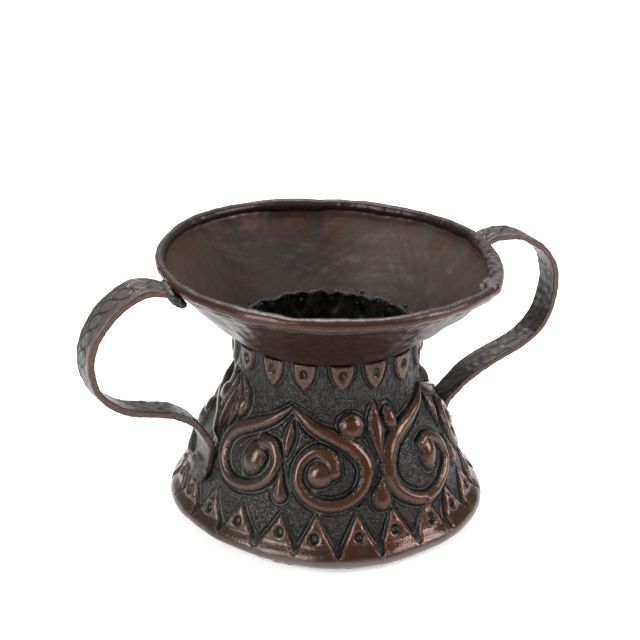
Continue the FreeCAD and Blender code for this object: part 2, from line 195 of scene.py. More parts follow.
# Where the foot was knocked: degrees round, millimetres out, millimetres up.
FOOT_BENDS = (
    (-110.0, 0.4, 0.0), (-78.0, 0.6, 0.2), (-55.0, -0.8, 1.0), (-36.0, -1.0, 1.1), (-16.0, 0.0, 0.3),
    (4.0, 0.8, 0.0), (26.0, 1.2, 0.0), (45.0, 0.6, 0.1), (68.0, 1.9, 0.0), (90.0, 0.6, 0.0),
    (120.0, 0.0, 0.0), (160.0, -0.4, 0.4), (200.0, 0.3, 0.0), (225.0, -0.3, 0.2),
)
KNOCKED_HEIGHTS = (1.0, 15.0)  # full bend below the first, none above the second
KNOCKED_RADII = (38.0, 51.0)  # none inside the first, full bend outside the second


def knocked(points):
    """The foot was knocked out of true in use, and the floor's edge with it."""
    radii = np.hypot(points[..., 0], points[..., 1])
    turn = np.arctan2(points[..., 1], points[..., 0])
    out, up = bend_by(FOOT_BENDS, np.degrees(turn) + FRONT_TURN)
    share = (1 - step(*KNOCKED_HEIGHTS, points[..., 2])) * step(*KNOCKED_RADII, radii)
    bent = points.copy()
    bent[..., 0] += out * share * np.cos(turn)
    bent[..., 1] += out * share * np.sin(turn)
    bent[..., 2] += up * share
    return bent


LEAN_ALONG, LEAN_ASIDE = 0.899, 0.438  # the way that the mouth leans, as shares along X and Y
LEAN_START = 6.0  # millimetres below the neck where the lean begins


def hand_lean(points):
    """The mouth was set on a little out of level; everything above the neck leans with it."""
    sizes = bpy.context.scene.pot_sizes
    rise = step(NECK_HEIGHT - LEAN_START, RIM_HEIGHT, points[..., 2])
    right = points[..., 0] * LEAN_ALONG - points[..., 1] * LEAN_ASIDE
    back = points[..., 0] * LEAN_ASIDE + points[..., 1] * LEAN_ALONG
    leant = points.copy()
    leant[..., 2] -= rise * (sizes.mouth_lean * right + sizes.mouth_lean / 3 * back)
    return leant


def mesh_from(name, points, faces, values=None):
    """Smooth-shaded mesh object from points in millimetres and faces, with named values on its points."""
    mesh = bpy.data.meshes.new(name)
    mesh.vertices.add(len(points))
    mesh.vertices.foreach_set("co", (points * MM).astype(np.float32).ravel())
    if isinstance(faces, list):
        sizes = np.array([len(face) for face in faces])
        flat = np.concatenate([np.asarray(face) for face in faces])
    else:
        sizes = np.full(len(faces), faces.shape[1])
        flat = faces.ravel()
    starts = np.concatenate([[0], np.cumsum(sizes)[:-1]])
    mesh.loops.add(len(flat))
    mesh.loops.foreach_set("vertex_index", flat.astype(np.int32))
    mesh.polygons.add(len(sizes))
    mesh.polygons.foreach_set("loop_start", starts.astype(np.int32))
    mesh.update(calc_edges=True)
    mesh.validate()
    mesh.polygons.foreach_set("use_smooth", np.ones(len(mesh.polygons), bool))
    for label, numbers in (values or {}).items():
        attribute = mesh.attributes.new(label, "FLOAT", "POINT")
        attribute.data.foreach_set("value", np.asarray(numbers, np.float32).ravel())
    piece = bpy.data.objects.new(name, mesh)
    bpy.context.collection.objects.link(piece)
    return piece


def ring_faces(rows, columns):
    """Faces of a grid that closes on itself both ways."""
    index = np.arange(rows * columns).reshape(rows, columns)
    beyond = np.roll(index, -1, axis=0)
    quads = np.stack([index, beyond, np.roll(beyond, -1, axis=1), np.roll(index, -1, axis=1)], axis=-1)
    return quads.reshape(-1, 4)


def closed_ring(name, points, values=None):
    """Closed surface from a grid of points that meets itself both ways."""
    rows, columns = points.shape[:2]
    return mesh_from(name, points.reshape(-1, 3), ring_faces(rows, columns), values)


def finish_piece(piece, nodes, material):
    """Give a piece its material, hang it on the body and hide the solids that it stands for."""
    piece.data.materials.clear()
    piece.data.materials.append(material)
    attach(piece, BODY)
    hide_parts(*nodes)


# ---------------------------------------------------------------- the ornament of the body
# Places are degrees round from the side that is seen first, counted to the right, and
# millimetres up from the ground. Line widths are half widths in millimetres.

HEART_AXES = (-19.3, 73.0, 161.5, 251.5)
DIVIDERS = (26.0, 116.0, 206.0, 296.0)
HANDLE_DIVIDERS = (116.0, 296.0)
FOOT_TEETH = 23
FIRST_VALLEY = 5.0
NECK_TONGUES = 17
FIRST_TONGUE = 8.3

# Half of a heart, from its top outwards, down and round into the curl: degrees from the
# heart's axis, height, half width. The last entry is the knob that the curl ends in.
BOLD_SCROLL = (
    (0.4, 50.4, 0.6), (5.5, 48.4, 1.1), (12.0, 45.7, 1.6), (25.0, 42.2, 2.1), (33.0, 39.2, 2.3),
    (38.0, 34.2, 2.2), (36.2, 27.6, 2.0), (29.2, 23.2, 1.8), (20.6, 21.9, 1.8), (12.6, 24.0, 1.7),
    (7.4, 29.0, 1.7), (8.2, 35.0, 1.8), (14.4, 38.4, 2.1), (21.2, 36.6, 2.4), (23.0, 32.6, 2.2),
)
BOLD_KNOB = (17.0, 32.0, 5.5, 5.1, 0.4)
TIGHT_SCROLL = (
    (1.4, 51.0, 0.6), (10.7, 46.2, 1.5), (21.0, 42.9, 2.0), (30.5, 39.4, 2.2), (34.5, 34.8, 2.1),
    (32.4, 29.0, 1.9), (26.9, 24.9, 1.7), (19.4, 23.9, 1.7), (11.6, 25.4, 1.7), (5.6, 29.2, 1.6),
    (3.7, 34.2, 1.7), (7.2, 38.4, 1.9), (12.6, 38.9, 2.2),
)
TIGHT_KNOB = (15.6, 33.4, 5.0, 6.8, 0.2)
BROAD_SCROLL = (
    (0.0, 49.8, 0.6), (11.0, 46.7, 1.4), (21.0, 44.2, 1.9), (31.0, 42.0, 2.3), (38.6, 38.8, 2.5),
    (43.4, 33.0, 2.5), (42.3, 26.4, 2.3), (37.0, 21.7, 2.1), (29.6, 18.8, 2.0), (21.4, 18.7, 1.9),
    (13.2, 21.2, 1.8), (7.2, 26.0, 1.7), (8.0, 31.8, 1.8), (14.8, 35.8, 1.9), (21.2, 34.8, 2.0),
)
BROAD_KNOB = (18.4, 31.8, 4.6, 7.0, 0.15)
BOLD, TIGHT, BROAD = ((BOLD_SCROLL, BOLD_KNOB), (TIGHT_SCROLL, TIGHT_KNOB), (BROAD_SCROLL, BROAD_KNOB))
HEARTS = ((TIGHT, BOLD), (BROAD, BOLD), (TIGHT, BROAD), (BOLD, BROAD))

SPEAR = ((2.0, 52.4, 0.2), (1.8, 48.5, 1.5), (1.6, 44.0, 2.6), (1.0, 40.0, 1.7), (0.2, 35.4, 0.4))
DROP = ((0.0, 29.4, 0.5), (-0.8, 26.4, 1.4), (-1.4, 22.8, 3.1), (-1.4, 21.9, 2.6))
HEART_BLADE = ((0.6, 46.8, 0.2), (0.4, 43.8, 1.1), (0.2, 40.8, 1.4), (0.0, 36.2, 0.4))
HEART_DROP = ((-0.6, 32.0, 0.4), (-0.4, 28.0, 1.2), (0.0, 24.4, 2.2), (0.0, 23.6, 1.9))
LEAF_BLADES = (
    ((2.2, 55.0, 0.3), (4.4, 50.0, 1.3), (6.4, 44.0, 1.7), (7.0, 38.0, 0.4)),
    ((5.4, 56.0, 0.3), (9.4, 52.0, 1.2), (12.4, 47.4, 1.4), (13.6, 43.0, 0.3)),
)
DOMES = ((-12.0, 45.6, 5.0, 4.9), (11.2, 46.2, 3.0, 4.9))

RIDGE_SPREAD = 1.34
RIDGE_ROUNDING = 2.3
GROOVE_OFFSET = 0.45
GROOVE_WIDTH = 0.5
GROOVE_REACH = 2.2
DOME_HEIGHT = 1.2  # heights of raised work are shares of the relief
LEAF_BLADE_HEIGHT = 0.8
FLAT_HEIGHT = 0.54

BAND_RADIUS = 50.0  # about the outside of the embossed band
TOOTH_ROOT, TOOTH_TIP = 7.0, 19.3
TOOTH_WANDER = 0.7
TOOTH_HOLE_LEVEL = 11.9
TONGUE_LENGTH = 9.6
TONGUE_HALF_WIDTH = 4.2
TONGUE_HOLE_LEVEL = 63.9
EDGE_GROOVE_WIDTH = 0.4
PALE_EDGE_INSET, PALE_EDGE_WIDTH = 0.9, 0.5
STROKES = 520
STROKE_LEVELS = (45.0, 60.5)
STROKE_HALF_WIDTH = 0.32


class Relief:
    """Height of the embossing over a grid of angles and heights of the body."""

    def __init__(self, degrees, heights, radii, run):
        self.degrees = degrees
        self.heights = heights
        self.radii = radii
        self.run = run
        self.raised = np.zeros((len(degrees), len(heights)))
        self.groove = np.zeros_like(self.raised)
        self.tall = bpy.context.scene.pot_sizes.relief / MM

    def window(self, degrees, levels, reach):
        """Rows and columns near a line, with each one's turn and run from the line's middle."""
        runs = np.interp(levels, self.heights, self.run)
        columns = np.flatnonzero((self.run > runs.min() - reach) & (self.run < runs.max() + reach))
        middle = (degrees.min() + degrees.max()) / 2
        turn = half_turned(self.degrees - middle)
        half = (degrees.max() - degrees.min()) / 2 + math.degrees(reach / self.radii[columns].min())
        rows = np.flatnonzero(np.abs(turn) < half)
        return rows, columns, np.radians(turn[rows]), np.radians(degrees - middle), runs

    def near(self, degree, level, reach):
        """Rows and columns near a place, with their offsets from it in millimetres."""
        rows, columns, turn, _, runs = self.window(np.array([degree]), np.array([level]), reach)
        across = turn[:, None] * self.radii[columns][None, :]
        up = np.broadcast_to((self.run[columns] - runs[0])[None, :], across.shape)
        return np.ix_(rows, columns), across, up

    def press(self, where, outline, width, lift):
        """Raise a rounded ridge inside an outline and chase a groove round it."""
        part = np.clip(1 + outline / width, 0, 1)
        ridge = (1 - part**RIDGE_ROUNDING) * lift
        self.raised[where] = np.maximum(self.raised[where], ridge)
        beside = bell(outline - GROOVE_OFFSET, GROOVE_WIDTH)
        self.groove[where] = np.maximum(self.groove[where], beside)

    def line(self, points, offset=0.0, mirror=1.0, height=1.0):
        """A raised line of changing width."""
        curve = smooth_line(points, 24)
        widths = np.maximum(curve[:, 2], 0.2) * RIDGE_SPREAD
        reach = widths.max() + GROOVE_REACH
        rows, columns, turn, places, runs = self.window(offset + mirror * curve[:, 0], curve[:, 1], reach)
        outline = np.full((len(rows), len(columns)), reach)
        width = np.ones_like(outline)
        for place, run, wide in zip(places, runs, widths):
            across = (turn - place)[:, None] * self.radii[columns][None, :]
            away = np.hypot(across, (self.run[columns] - run)[None, :]) - wide
            nearer = away < outline
            outline = np.where(nearer, away, outline)
            width = np.where(nearer, wide, width)
        lift = self.tall * height * np.minimum(1.0, 0.35 + width / 3.0)
        self.press(np.ix_(rows, columns), outline, width, lift)

    def dome(self, degree, level, wide, tall, lean=0.0):
        """An oval boss."""
        where, across, up = self.near(degree, level, max(wide, tall) + GROOVE_REACH)
        along = across * math.cos(lean) + up * math.sin(lean)
        beyond = up * math.cos(lean) - across * math.sin(lean)
        size = min(wide, tall)
        outline = (np.hypot(along / wide, beyond / tall) - 1) * size
        self.press(where, outline, size, self.tall * DOME_HEIGHT)


def tooth_edge(degrees, draw):
    """Zigzag edge of the foot's teeth: its height at each angle, and the angles of its tips."""
    pitch = FULL_TURN / FOOT_TEETH
    place = (degrees - FIRST_VALLEY) / pitch
    tooth = np.floor(place).astype(int) % FOOT_TEETH
    tips = TOOTH_TIP + draw.uniform(-TOOTH_WANDER, TOOTH_WANDER, FOOT_TEETH)
    roots = TOOTH_ROOT + draw.uniform(-TOOTH_WANDER, TOOTH_WANDER, FOOT_TEETH + 1)
    roots[-1] = roots[0]
    centre = 0.5 + draw.uniform(-0.07, 0.07, FOOT_TEETH)
    part = place - np.floor(place)
    left = part < centre[tooth]
    rise = np.where(left, part / centre[tooth], (1 - part) / (1 - centre[tooth]))
    root = np.where(left, roots[tooth], roots[tooth + 1])
    return root + (tips[tooth] - root) * rise, FIRST_VALLEY + (np.arange(FOOT_TEETH) + centre) * pitch


def body_relief(degrees, heights, radii, run):
    """Embossing over the body's outside: its height, and how worn, sunk and rubbed pale each point is."""
    draw = np.random.default_rng(7)
    relief = Relief(degrees, heights, radii, run)
    for axis, halves in zip(HEART_AXES, HEARTS):
        for mirror, (scroll, knob) in zip((-1.0, 1.0), halves):
            relief.line(scroll, axis, mirror)
            relief.dome(axis + mirror * knob[0], knob[1], knob[2], knob[3], mirror * knob[4])
        relief.line(HEART_BLADE, axis)
        relief.line(HEART_DROP, axis)
    for axis in DIVIDERS:
        relief.line(SPEAR, axis)
        relief.line(DROP, axis)
        for degree, level, wide, high in DOMES:
            relief.dome(axis + degree, level, wide, high)
    for axis in HANDLE_DIVIDERS:
        for blade in LEAF_BLADES:
            for mirror in (-1.0, 1.0):
                relief.line(blade, axis, mirror, LEAF_BLADE_HEIGHT)

    tall = relief.tall
    edge, tips = tooth_edge(degrees, draw)
    steep = math.radians(FULL_TURN / FOOT_TEETH / 2) * BAND_RADIUS / (TOOTH_TIP - TOOTH_ROOT)
    lean = steep / math.hypot(1, steep)
    inside = (edge[:, None] - heights[None, :]) * lean
    flat = step(-0.1, 1.0, inside)
    beside = bell(inside + GROOVE_OFFSET, EDGE_GROOVE_WIDTH) * (heights > 6)
    level = step(5.6, 10.5, heights)[None, :]
    relief.groove = np.maximum(relief.groove, beside * 0.9)
    height = relief.raised + flat * tall * FLAT_HEIGHT * level
    sunk = (1 - flat) * step(17, 8, heights)[None, :] * step(6.2, 7.6, heights)[None, :]
    height -= sunk * tall * 0.45
    worn = np.maximum(step(0.3, 0.95, relief.raised / tall), flat * 0.92)
    pale = bell(inside - PALE_EDGE_INSET, PALE_EDGE_WIDTH) * (heights > 6.5)

    for tip in tips:
        place = tip + draw.uniform(-0.7, 0.7)
        where, across, up = relief.near(place, TOOTH_HOLE_LEVEL + draw.uniform(-0.5, 0.6), 3.6)
        distance = np.hypot(across, up * draw.uniform(0.8, 1.0)) / draw.uniform(0.9, 1.1)
        height[where] -= tall * 0.75 * (1 - step(0.5, 2.1, distance))
        height[where] += tall * 0.14 * bell(distance - 2.5, 0.5)
        worn[where] *= 1 - 0.9 * (1 - step(1.2, 2.1, distance))

    pitch = FULL_TURN / NECK_TONGUES
    for count in range(NECK_TONGUES):
        centre = FIRST_TONGUE + count * pitch + draw.uniform(-1.0, 1.0)
        length = TONGUE_LENGTH + draw.uniform(-0.8, 0.8)
        where, across, up = relief.near(centre, NECK_HEIGHT, length + 3)
        down = np.clip(-up / length, 0, None)
        half = TONGUE_HALF_WIDTH * np.clip(1 - down**2.3, 0, 1) ** 0.8
        inside = np.where(down < 1, (half - np.abs(across)) * 0.85, -np.hypot(across, (down - 1) * length))
        tongue = step(-0.1, 0.9, inside)
        rubbed = bell(inside - PALE_EDGE_INSET, PALE_EDGE_WIDTH)
        pale[where] = np.maximum(pale[where], rubbed * 0.8)
        height[where] = np.maximum(height[where], tongue * tall * FLAT_HEIGHT)
        worn[where] = np.maximum(worn[where], tongue * 0.75)
        edge_groove = bell(inside + 0.5, EDGE_GROOVE_WIDTH)
        relief.groove[where] = np.maximum(relief.groove[where], edge_groove * 0.8)
        where, across, up = relief.near(centre + draw.uniform(-0.6, 0.6), TONGUE_HOLE_LEVEL, 3.4)
        distance = np.hypot(across / 1.75, up / 2.3)
        dent = 1 - step(0.25, 1.05, distance)
        height[where] -= dent * tall * 0.62
        worn[where] *= 1 - 0.85 * dent

    strokes = np.zeros_like(height)
    for _ in range(STROKES):
        place, level = draw.uniform(0, FULL_TURN), draw.uniform(*STROKE_LEVELS)
        where, across, up = relief.near(place, level, 2.6)
        cut = bell(across, STROKE_HALF_WIDTH) * np.clip(1 - (up / draw.uniform(1.2, 2.4)) ** 2, 0, 1)
        strokes[where] = np.maximum(strokes[where], cut)
    height -= strokes * 0.32 * (1 - step(0.1, 0.4, height / tall))
    bare = 1 - step(0.05, 0.5, height / tall)
    height -= relief.groove * 0.28 * tall * (1 - step(0.1, 0.6, relief.raised / tall)) * (1 - 0.7 * flat)
    return height, np.clip(worn, 0, 1), np.clip(relief.groove, 0, 1) * bare, np.clip(pale * worn, 0, 1)


def softened(grid, rows, columns):
    """A grid blurred both ways, closing on itself along its rows."""
    for axis, reach in ((0, rows), (1, columns)):
        total = np.zeros_like(grid)
        for shift in range(-reach, reach + 1):
            if axis == 0:
                total += np.roll(grid, shift, axis=0)
                continue
            index = np.clip(np.arange(grid.shape[1]) + shift, 0, grid.shape[1] - 1)
            total += grid[:, index]
        grid = total / (2 * reach + 1)
    return grid


def eased(line, reach):
    """A line of values with its corners eased, its ends kept."""
    padded = np.concatenate([2 * line[0] - line[reach:0:-1], line, 2 * line[-1] - line[-2 : -reach - 2 : -1]])
    weights = np.hanning(2 * reach + 1)
    return np.convolve(padded, weights / weights.sum(), mode="valid")


def slope_normals(radii, heights):
    """Outward normal at each point of a profile, as radius and height parts."""
    across = np.gradient(radii)
    up = np.gradient(heights)
    length = np.hypot(across, up)
    return up / length, -across / length


LANDING_LEVEL = 25.0  # where the lower end of a strap lands, with no relief under it
LANDING_WIDTHS = (4.2, 6.4)
LANDING_HEIGHTS = (6.5, 9.5)
LEDGE_POINTS = 5


def make_body_shell():
    """Foot, belly and neck, embossed all round."""
    sizes = bpy.context.scene.pot_sizes
    spacing = sizes.fineness / MM
    fine = np.linspace(0, NECK_HEIGHT, 2000)
    fine_radii = eased(np.interp(fine, BODY_HEIGHTS, BODY_RADII), 30)
    length = np.concatenate([[0], np.cumsum(np.hypot(np.diff(fine), np.diff(fine_radii)))])
    columns = int(length[-1] / spacing)
    run = np.linspace(0, length[-1], columns)
    heights = np.interp(run, length, fine)
    radii = np.interp(run, length, fine_radii)
    rows = int(2 * math.pi * BAND_RADIUS / spacing)
    seen = turns(rows)
    height, worn, groove, pale = body_relief(seen, heights, radii, run)

    landing = np.zeros_like(height)
    for axis in HANDLE_DIVIDERS:
        across = np.radians(half_turned(seen - axis))[:, None] * radii[None, :]
        beside = 1 - step(*LANDING_WIDTHS, np.abs(across))
        level = 1 - step(*LANDING_HEIGHTS, np.abs(heights - LANDING_LEVEL))
        landing = np.maximum(landing, beside * level[None, :])
    height *= 1 - landing
    groove *= 1 - landing

    degrees = seen - FRONT_TURN
    out, up = slope_normals(radii, heights)
    base = turned(radii, heights, degrees)
    unevenness = rough(base, 26.0, 11) * 0.2 + rough(base, 9.0, 12) * 0.05
    unevenness += rough(base * [1, 1, 0.3], 38.0, 14) * 0.35 * (1 - step(4, 14, heights))[None, :]
    matting = np.maximum(rough(base, 1.7, 13), 0) * 0.07 * (1 - worn)
    lift = height + (unevenness - matting) * step(0, 6, heights)[None, :]
    outside = turned(radii + out * lift, heights + up * lift, degrees)

    inner_count = int(columns / 2.6)
    inner_heights = np.linspace(NECK_HEIGHT, BODY_WALL, inner_count)
    pushed = softened(lift, 3, 3)
    index = np.searchsorted(heights, inner_heights).clip(0, columns - 1)
    inner_lift = pushed[:, index] * 0.8 - BODY_WALL
    inner_lift *= np.where(inner_heights < 6, 1.35, 1.0)[None, :]
    inside = turned(radii[index] + out[index] * inner_lift, inner_heights, degrees)
    inside[:, 0, 2] = outside[:, -1, 2]
    inner_floor = np.hypot(inside[:, -1, 0], inside[:, -1, 1])
    ledge = np.linspace(0, 1, LEDGE_POINTS + 1)[1:]
    top_ledge = inner_floor[:, None] * (1 - ledge) + LEDGE_RADIUS * ledge
    under = LEDGE_RADIUS * (1 - ledge[:-1]) + radii[0] * ledge[:-1]
    ledge_top = turned(top_ledge, np.full(LEDGE_POINTS, BODY_WALL), degrees)
    ledge_under = turned(np.concatenate([[LEDGE_RADIUS], under]), np.zeros(LEDGE_POINTS), degrees)
    points = np.concatenate([outside, inside, ledge_top, ledge_under], axis=1)
    hump = lift - softened(lift, 4, 4)
    hollow = np.clip(groove + np.clip(-hump * 1.5, 0, 1), 0, 1)
    ridge = np.clip(np.maximum(hump * 0.35, pale * 0.85), 0, 1)
    # The unseen inside and ledges take a sunk value of 0.9, which darkens them towards the grime colour.
    unseen = ((0, 0), (0, points.shape[1] - columns))
    values = {
        "worn": np.pad(worn, unseen),
        "sunk": np.pad(hollow, unseen, constant_values=0.9),
        "edge": np.pad(ridge, unseen),
    }
    piece = closed_ring("embossed_body", hand_lean(knocked(points)), values)
    finish_piece(piece, ["body_shell"], raised_copper())


# ---------------------------------------------------------------- mouth


def mouth_slope():
    """Lean of the mouth's sheet from the vertical."""
    across = RIM_RADIUS - NECK_RADIUS
    up = RIM_HEIGHT - NECK_HEIGHT
    return math.atan2(across, up) + math.asin(ROLL_RADIUS / math.hypot(across, up))


JOIN_TURN = 68.3  # where the two ends of the rim meet, in degrees from the side seen first
JOIN_REACH = 8.0  # degrees over which the rim is pushed out at the join
JOIN_OUT, JOIN_DOWN = 1.8, 0.2
MOUTH_PLACES = 760
SHEET_POINTS = 74
ROLL_POINTS = 44
ROLL_SWEEP = 290.0  # degrees that the edge is rolled over
ROLL_OUT = 0.25  # how far the roll's middle lies outside the wire's

# Where the rim was bent in use: degrees round, millimetres out, millimetres up, change of thickness.
RIM_BENDS = (
    (-150.0, 0.4, 1.4, -0.05), (-120.0, 0.9, 1.5, -0.12), (-90.0, 0.8, 0.6, -0.2), (-60.0, 0.2, 0.0, -0.12),
    (-20.0, 0.0, 0.0, 0.0), (30.0, 0.0, 0.1, 0.0), (64.0, 0.3, 0.0, 0.0), (95.0, 0.2, 0.3, 0.0),
    (130.0, 0.3, 1.3, 0.0), (165.0, 0.0, 0.8, 0.0), (190.0, 0.0, 0.8, 0.0),
)


def after_join(turn):
    """How far a place is into the broad part of the roll behind the join, by degrees past it."""
    return step(-1.0, 3.0, turn) * (1 - step(24.0, 50.0, turn))


def past_join(seen):
    """Degrees past the join in the rim, from minus half a turn to half a turn."""
    return half_turned(seen - JOIN_TURN)


def rim_shift(seen):
    """How far the hand-rolled rim wanders out and up, and how thick its roll is, at each angle."""
    circle = unit_circle(seen) * 10
    bent = bend_by(RIM_BENDS, seen)
    out = rough(circle, 9.0, 21) * 0.2 + rough(circle, 2.6, 22) * 0.05 + bent[0]
    up = rough(circle, 7.0, 23) * 0.15 + rough(circle, 2.2, 24) * 0.06 + bent[1]
    thick = 1 + rough(circle, 3.0, 25) * 0.04 + rough(circle, 1.1, 26) * 0.02 + bent[2]
    turn = past_join(seen)
    corner = np.exp(-np.abs(turn) / JOIN_REACH)
    behind = after_join(turn)
    return out + corner * JOIN_OUT + behind * 0.3, up - corner * JOIN_DOWN, thick + behind * 0.12


def make_mouth():
    """Conical mouth, planished by hand, its edge rolled inwards over a wire."""
    seen = turns(MOUTH_PLACES)
    degrees = seen - FRONT_TURN
    out, up, thick = rim_shift(seen)
    slope = mouth_slope()
    roll = ROLL_RADIUS * thick[:, None]
    centre_radius = RIM_RADIUS + out[:, None] + ROLL_OUT
    centre_height = RIM_HEIGHT + up[:, None] - np.maximum(thick - 1, 0)[:, None] * ROLL_RADIUS
    outward = np.array([math.cos(slope), -math.sin(slope)])

    def sheet_line(inset, first, last):
        """Straight run of the sheet between the neck and the roll, bellied a little."""
        part = np.linspace(first, last, SHEET_POINTS)[None, :]
        foot_radius = NECK_RADIUS - inset / math.cos(slope)
        end_radius = centre_radius + outward[0] * (roll - inset)
        end_height = centre_height + outward[1] * (roll - inset)
        radius = foot_radius + (end_radius - foot_radius) * part
        height = NECK_HEIGHT + (end_height - NECK_HEIGHT) * part
        belly = np.sin(np.pi * part) * 0.5
        crease = 0.38 * bell((1 - part) * 34 - 0.9, 0.7)
        lift = belly - crease
        return radius + outward[0] * lift, height + outward[1] * lift

    circle = unit_circle(seen)
    ragged = rough(circle * 10, 1.6, 27) * 7 + rough(circle * 10, 0.6, 28) * 4
    sweep = np.linspace(0, 1, ROLL_POINTS)[None, :] * (ROLL_SWEEP + ragged[:, None])
    angle = np.radians(sweep) - slope
    fringe = rough(circle * RIM_RADIUS, 8.0, 29) + rough(circle * RIM_RADIUS, 3.4, 30) * 0.5
    tucked = step(110.0, 190.0, sweep)
    uneven = roll * (1 + fringe[:, None] * 0.045 * tucked)
    broad = after_join(past_join(seen))[:, None]
    flap = 0.14 * broad
    roll_radius = centre_radius + (np.cos(angle) * (1 + flap) - flap) * uneven
    roll_height = centre_height + np.sin(angle) * uneven
    back = angle[:, ::-4]
    bore = roll * 0.9 - MOUTH_WALL
    bore_radius = centre_radius + np.cos(back) * bore
    bore_height = centre_height + np.sin(back) * bore
    outer = sheet_line(0.0, 0.0, 0.985)
    inner = sheet_line(MOUTH_WALL, 0.97, 0.0)
    radii = np.concatenate([outer[0], roll_radius, bore_radius, inner[0]], axis=1)
    heights = np.concatenate([outer[1], roll_height, bore_height, inner[1]], axis=1)
    points = turned(radii, heights, degrees)
    hammer = bpy.context.scene.pot_sizes.hammer / MM
    marks = rough(points, 11.0, 31) * hammer + rough(points, 4.5, 32) * hammer * 0.45
    marks *= step(NECK_HEIGHT, NECK_HEIGHT + 5, points[..., 2])
    marks[:, SHEET_POINTS:] *= 0.45
    turn = np.radians(degrees)[:, None]
    points[..., 0] += marks * np.cos(turn) * outward[0]
    points[..., 1] += marks * np.sin(turn) * outward[0]
    points[..., 2] += marks * outward[1]

    on_roll = slice(SHEET_POINTS, SHEET_POINTS + ROLL_POINTS)
    dulled = 1 - 0.85 * broad
    # Pale lines along the roll's top and its lower front edge: partly rubbed metal, partly painted highlight.
    top = bell(np.degrees(angle) - 82, 26)
    low = bell(np.degrees(angle) + 42, 14)
    values = {name: np.zeros(radii.shape) for name in ("worn", "edge", "inside", "flap")}
    values["worn"][:, :SHEET_POINTS] = 0.35
    values["worn"][:, on_roll] = np.clip(np.cos(angle - 0.1) * 1.3, 0, 1) * dulled
    values["edge"][:, on_roll] = np.maximum(top, low * 0.8) * dulled
    values["inside"][:, on_roll.stop :] = 1
    values["flap"][:, on_roll] = broad
    piece = closed_ring("funnel_mouth", hand_lean(points), values)
    finish_piece(piece, ["mouth_funnel"], mouth_copper())


def make_rim_wire():
    """Wire that the rim is rolled over."""
    seen = turns(240)
    out, up, thick = rim_shift(seen)
    around = np.radians(turns(14))[None, :]
    tube = WIRE_RADIUS * 0.86
    lower = np.maximum(thick - 1, 0)[:, None] * ROLL_RADIUS
    radii = RIM_RADIUS + out[:, None] + ROLL_OUT + tube * np.cos(around)
    heights = RIM_HEIGHT + up[:, None] - lower + tube * np.sin(around)
    piece = closed_ring("rim_wire_core", hand_lean(turned(radii, heights, seen - FRONT_TURN)))
    finish_piece(piece, ["rim_wire"], plain_wire())


# ---------------------------------------------------------------- handles
# Middle line of each strap, as distance out from the vessel's axis and height in millimetres.

LEFT_PATH = (
    (55.4, 86.0), (58.2, 88.7), (62.6, 91.3), (68.9, 92.2), (75.2, 90.0), (80.9, 86.0), (85.4, 80.6),
    (88.4, 74.1), (88.8, 67.2), (86.8, 60.2), (81.8, 54.3), (75.0, 50.4), (66.8, 48.3), (59.4, 46.1),
    (53.4, 42.4), (49.2, 37.2), (46.9, 32.4), (47.0, 28.4), (48.7, 22.2),
)
RIGHT_PATH = (
    (55.0, 85.6), (58.0, 89.0), (62.8, 92.6), (69.2, 94.0), (77.0, 92.8), (85.2, 88.2), (90.8, 81.6),
    (93.0, 74.4), (92.8, 66.2), (90.4, 57.8), (85.0, 51.2), (76.8, 46.8), (66.8, 43.2), (58.2, 38.8),
    (52.6, 34.2), (48.6, 30.4), (47.8, 26.8), (49.0, 21.8),
)
# Each strap's side, the way it lies along X, its path, its width as a share of the solid's, tilt and seed.
HANDLES = (("left", -1, LEFT_PATH, 1.03, 0.07, 101), ("right", 1, RIGHT_PATH, 0.95, 0.0, 121))
STRAP_THICKNESS = 2.4
STRAP_EASE = 0.55  # radius of the strap's eased edges
STRAP_STEP = 0.3
LEAF_START, LEAF_PITCH, LEAF_RUN = 9.5, 6.1, 66.0
LEAF_HALF_LENGTH, LEAF_HALF_WIDTH = 3.5, 1.9
LEAF_LEAN = 0.28
DEEP_LEAVES = 7  # the rest are worn shallow
BORDER_OFFSET = 3.0
CHASING_DEPTH = 0.32
CAP_RINGS = (0.92, 0.6, 0.2)  # rings that close each end, as shares of its outline
LEAF_SET_WIDTH = 8.0  # strap width that the leaves were set out on


def strap_section(width, count_wide, count_thick):
    """Closed outline of the strap: across its width and through its thickness, edges eased."""
    half_wide = width / 2
    half_thick = STRAP_THICKNESS / 2
    in_wide, in_thick = half_wide - STRAP_EASE, half_thick - STRAP_EASE
    quarter = np.linspace(0, np.pi / 2, 5)
    flat = np.linspace(-in_wide, in_wide, count_wide)[1:-1]
    side = np.linspace(-in_thick, in_thick, count_thick)[1:-1]
    corners = ((1, 1), (-1, 1), (-1, -1), (1, -1))
    runs = (
        (flat[::-1], np.full_like(flat, half_thick)), (np.full_like(side, -half_wide), side[::-1]),
        (flat, np.full_like(flat, -half_thick)), (np.full_like(side, half_wide), side),
    )
    parts = []
    for turn, ((over, up), run) in enumerate(zip(corners, runs)):
        angle = quarter + turn * np.pi / 2
        corner = over * in_wide + STRAP_EASE * np.cos(angle), up * in_thick + STRAP_EASE * np.sin(angle)
        parts += [np.stack(corner, axis=-1), np.stack(run, axis=-1)]
    return np.concatenate(parts)


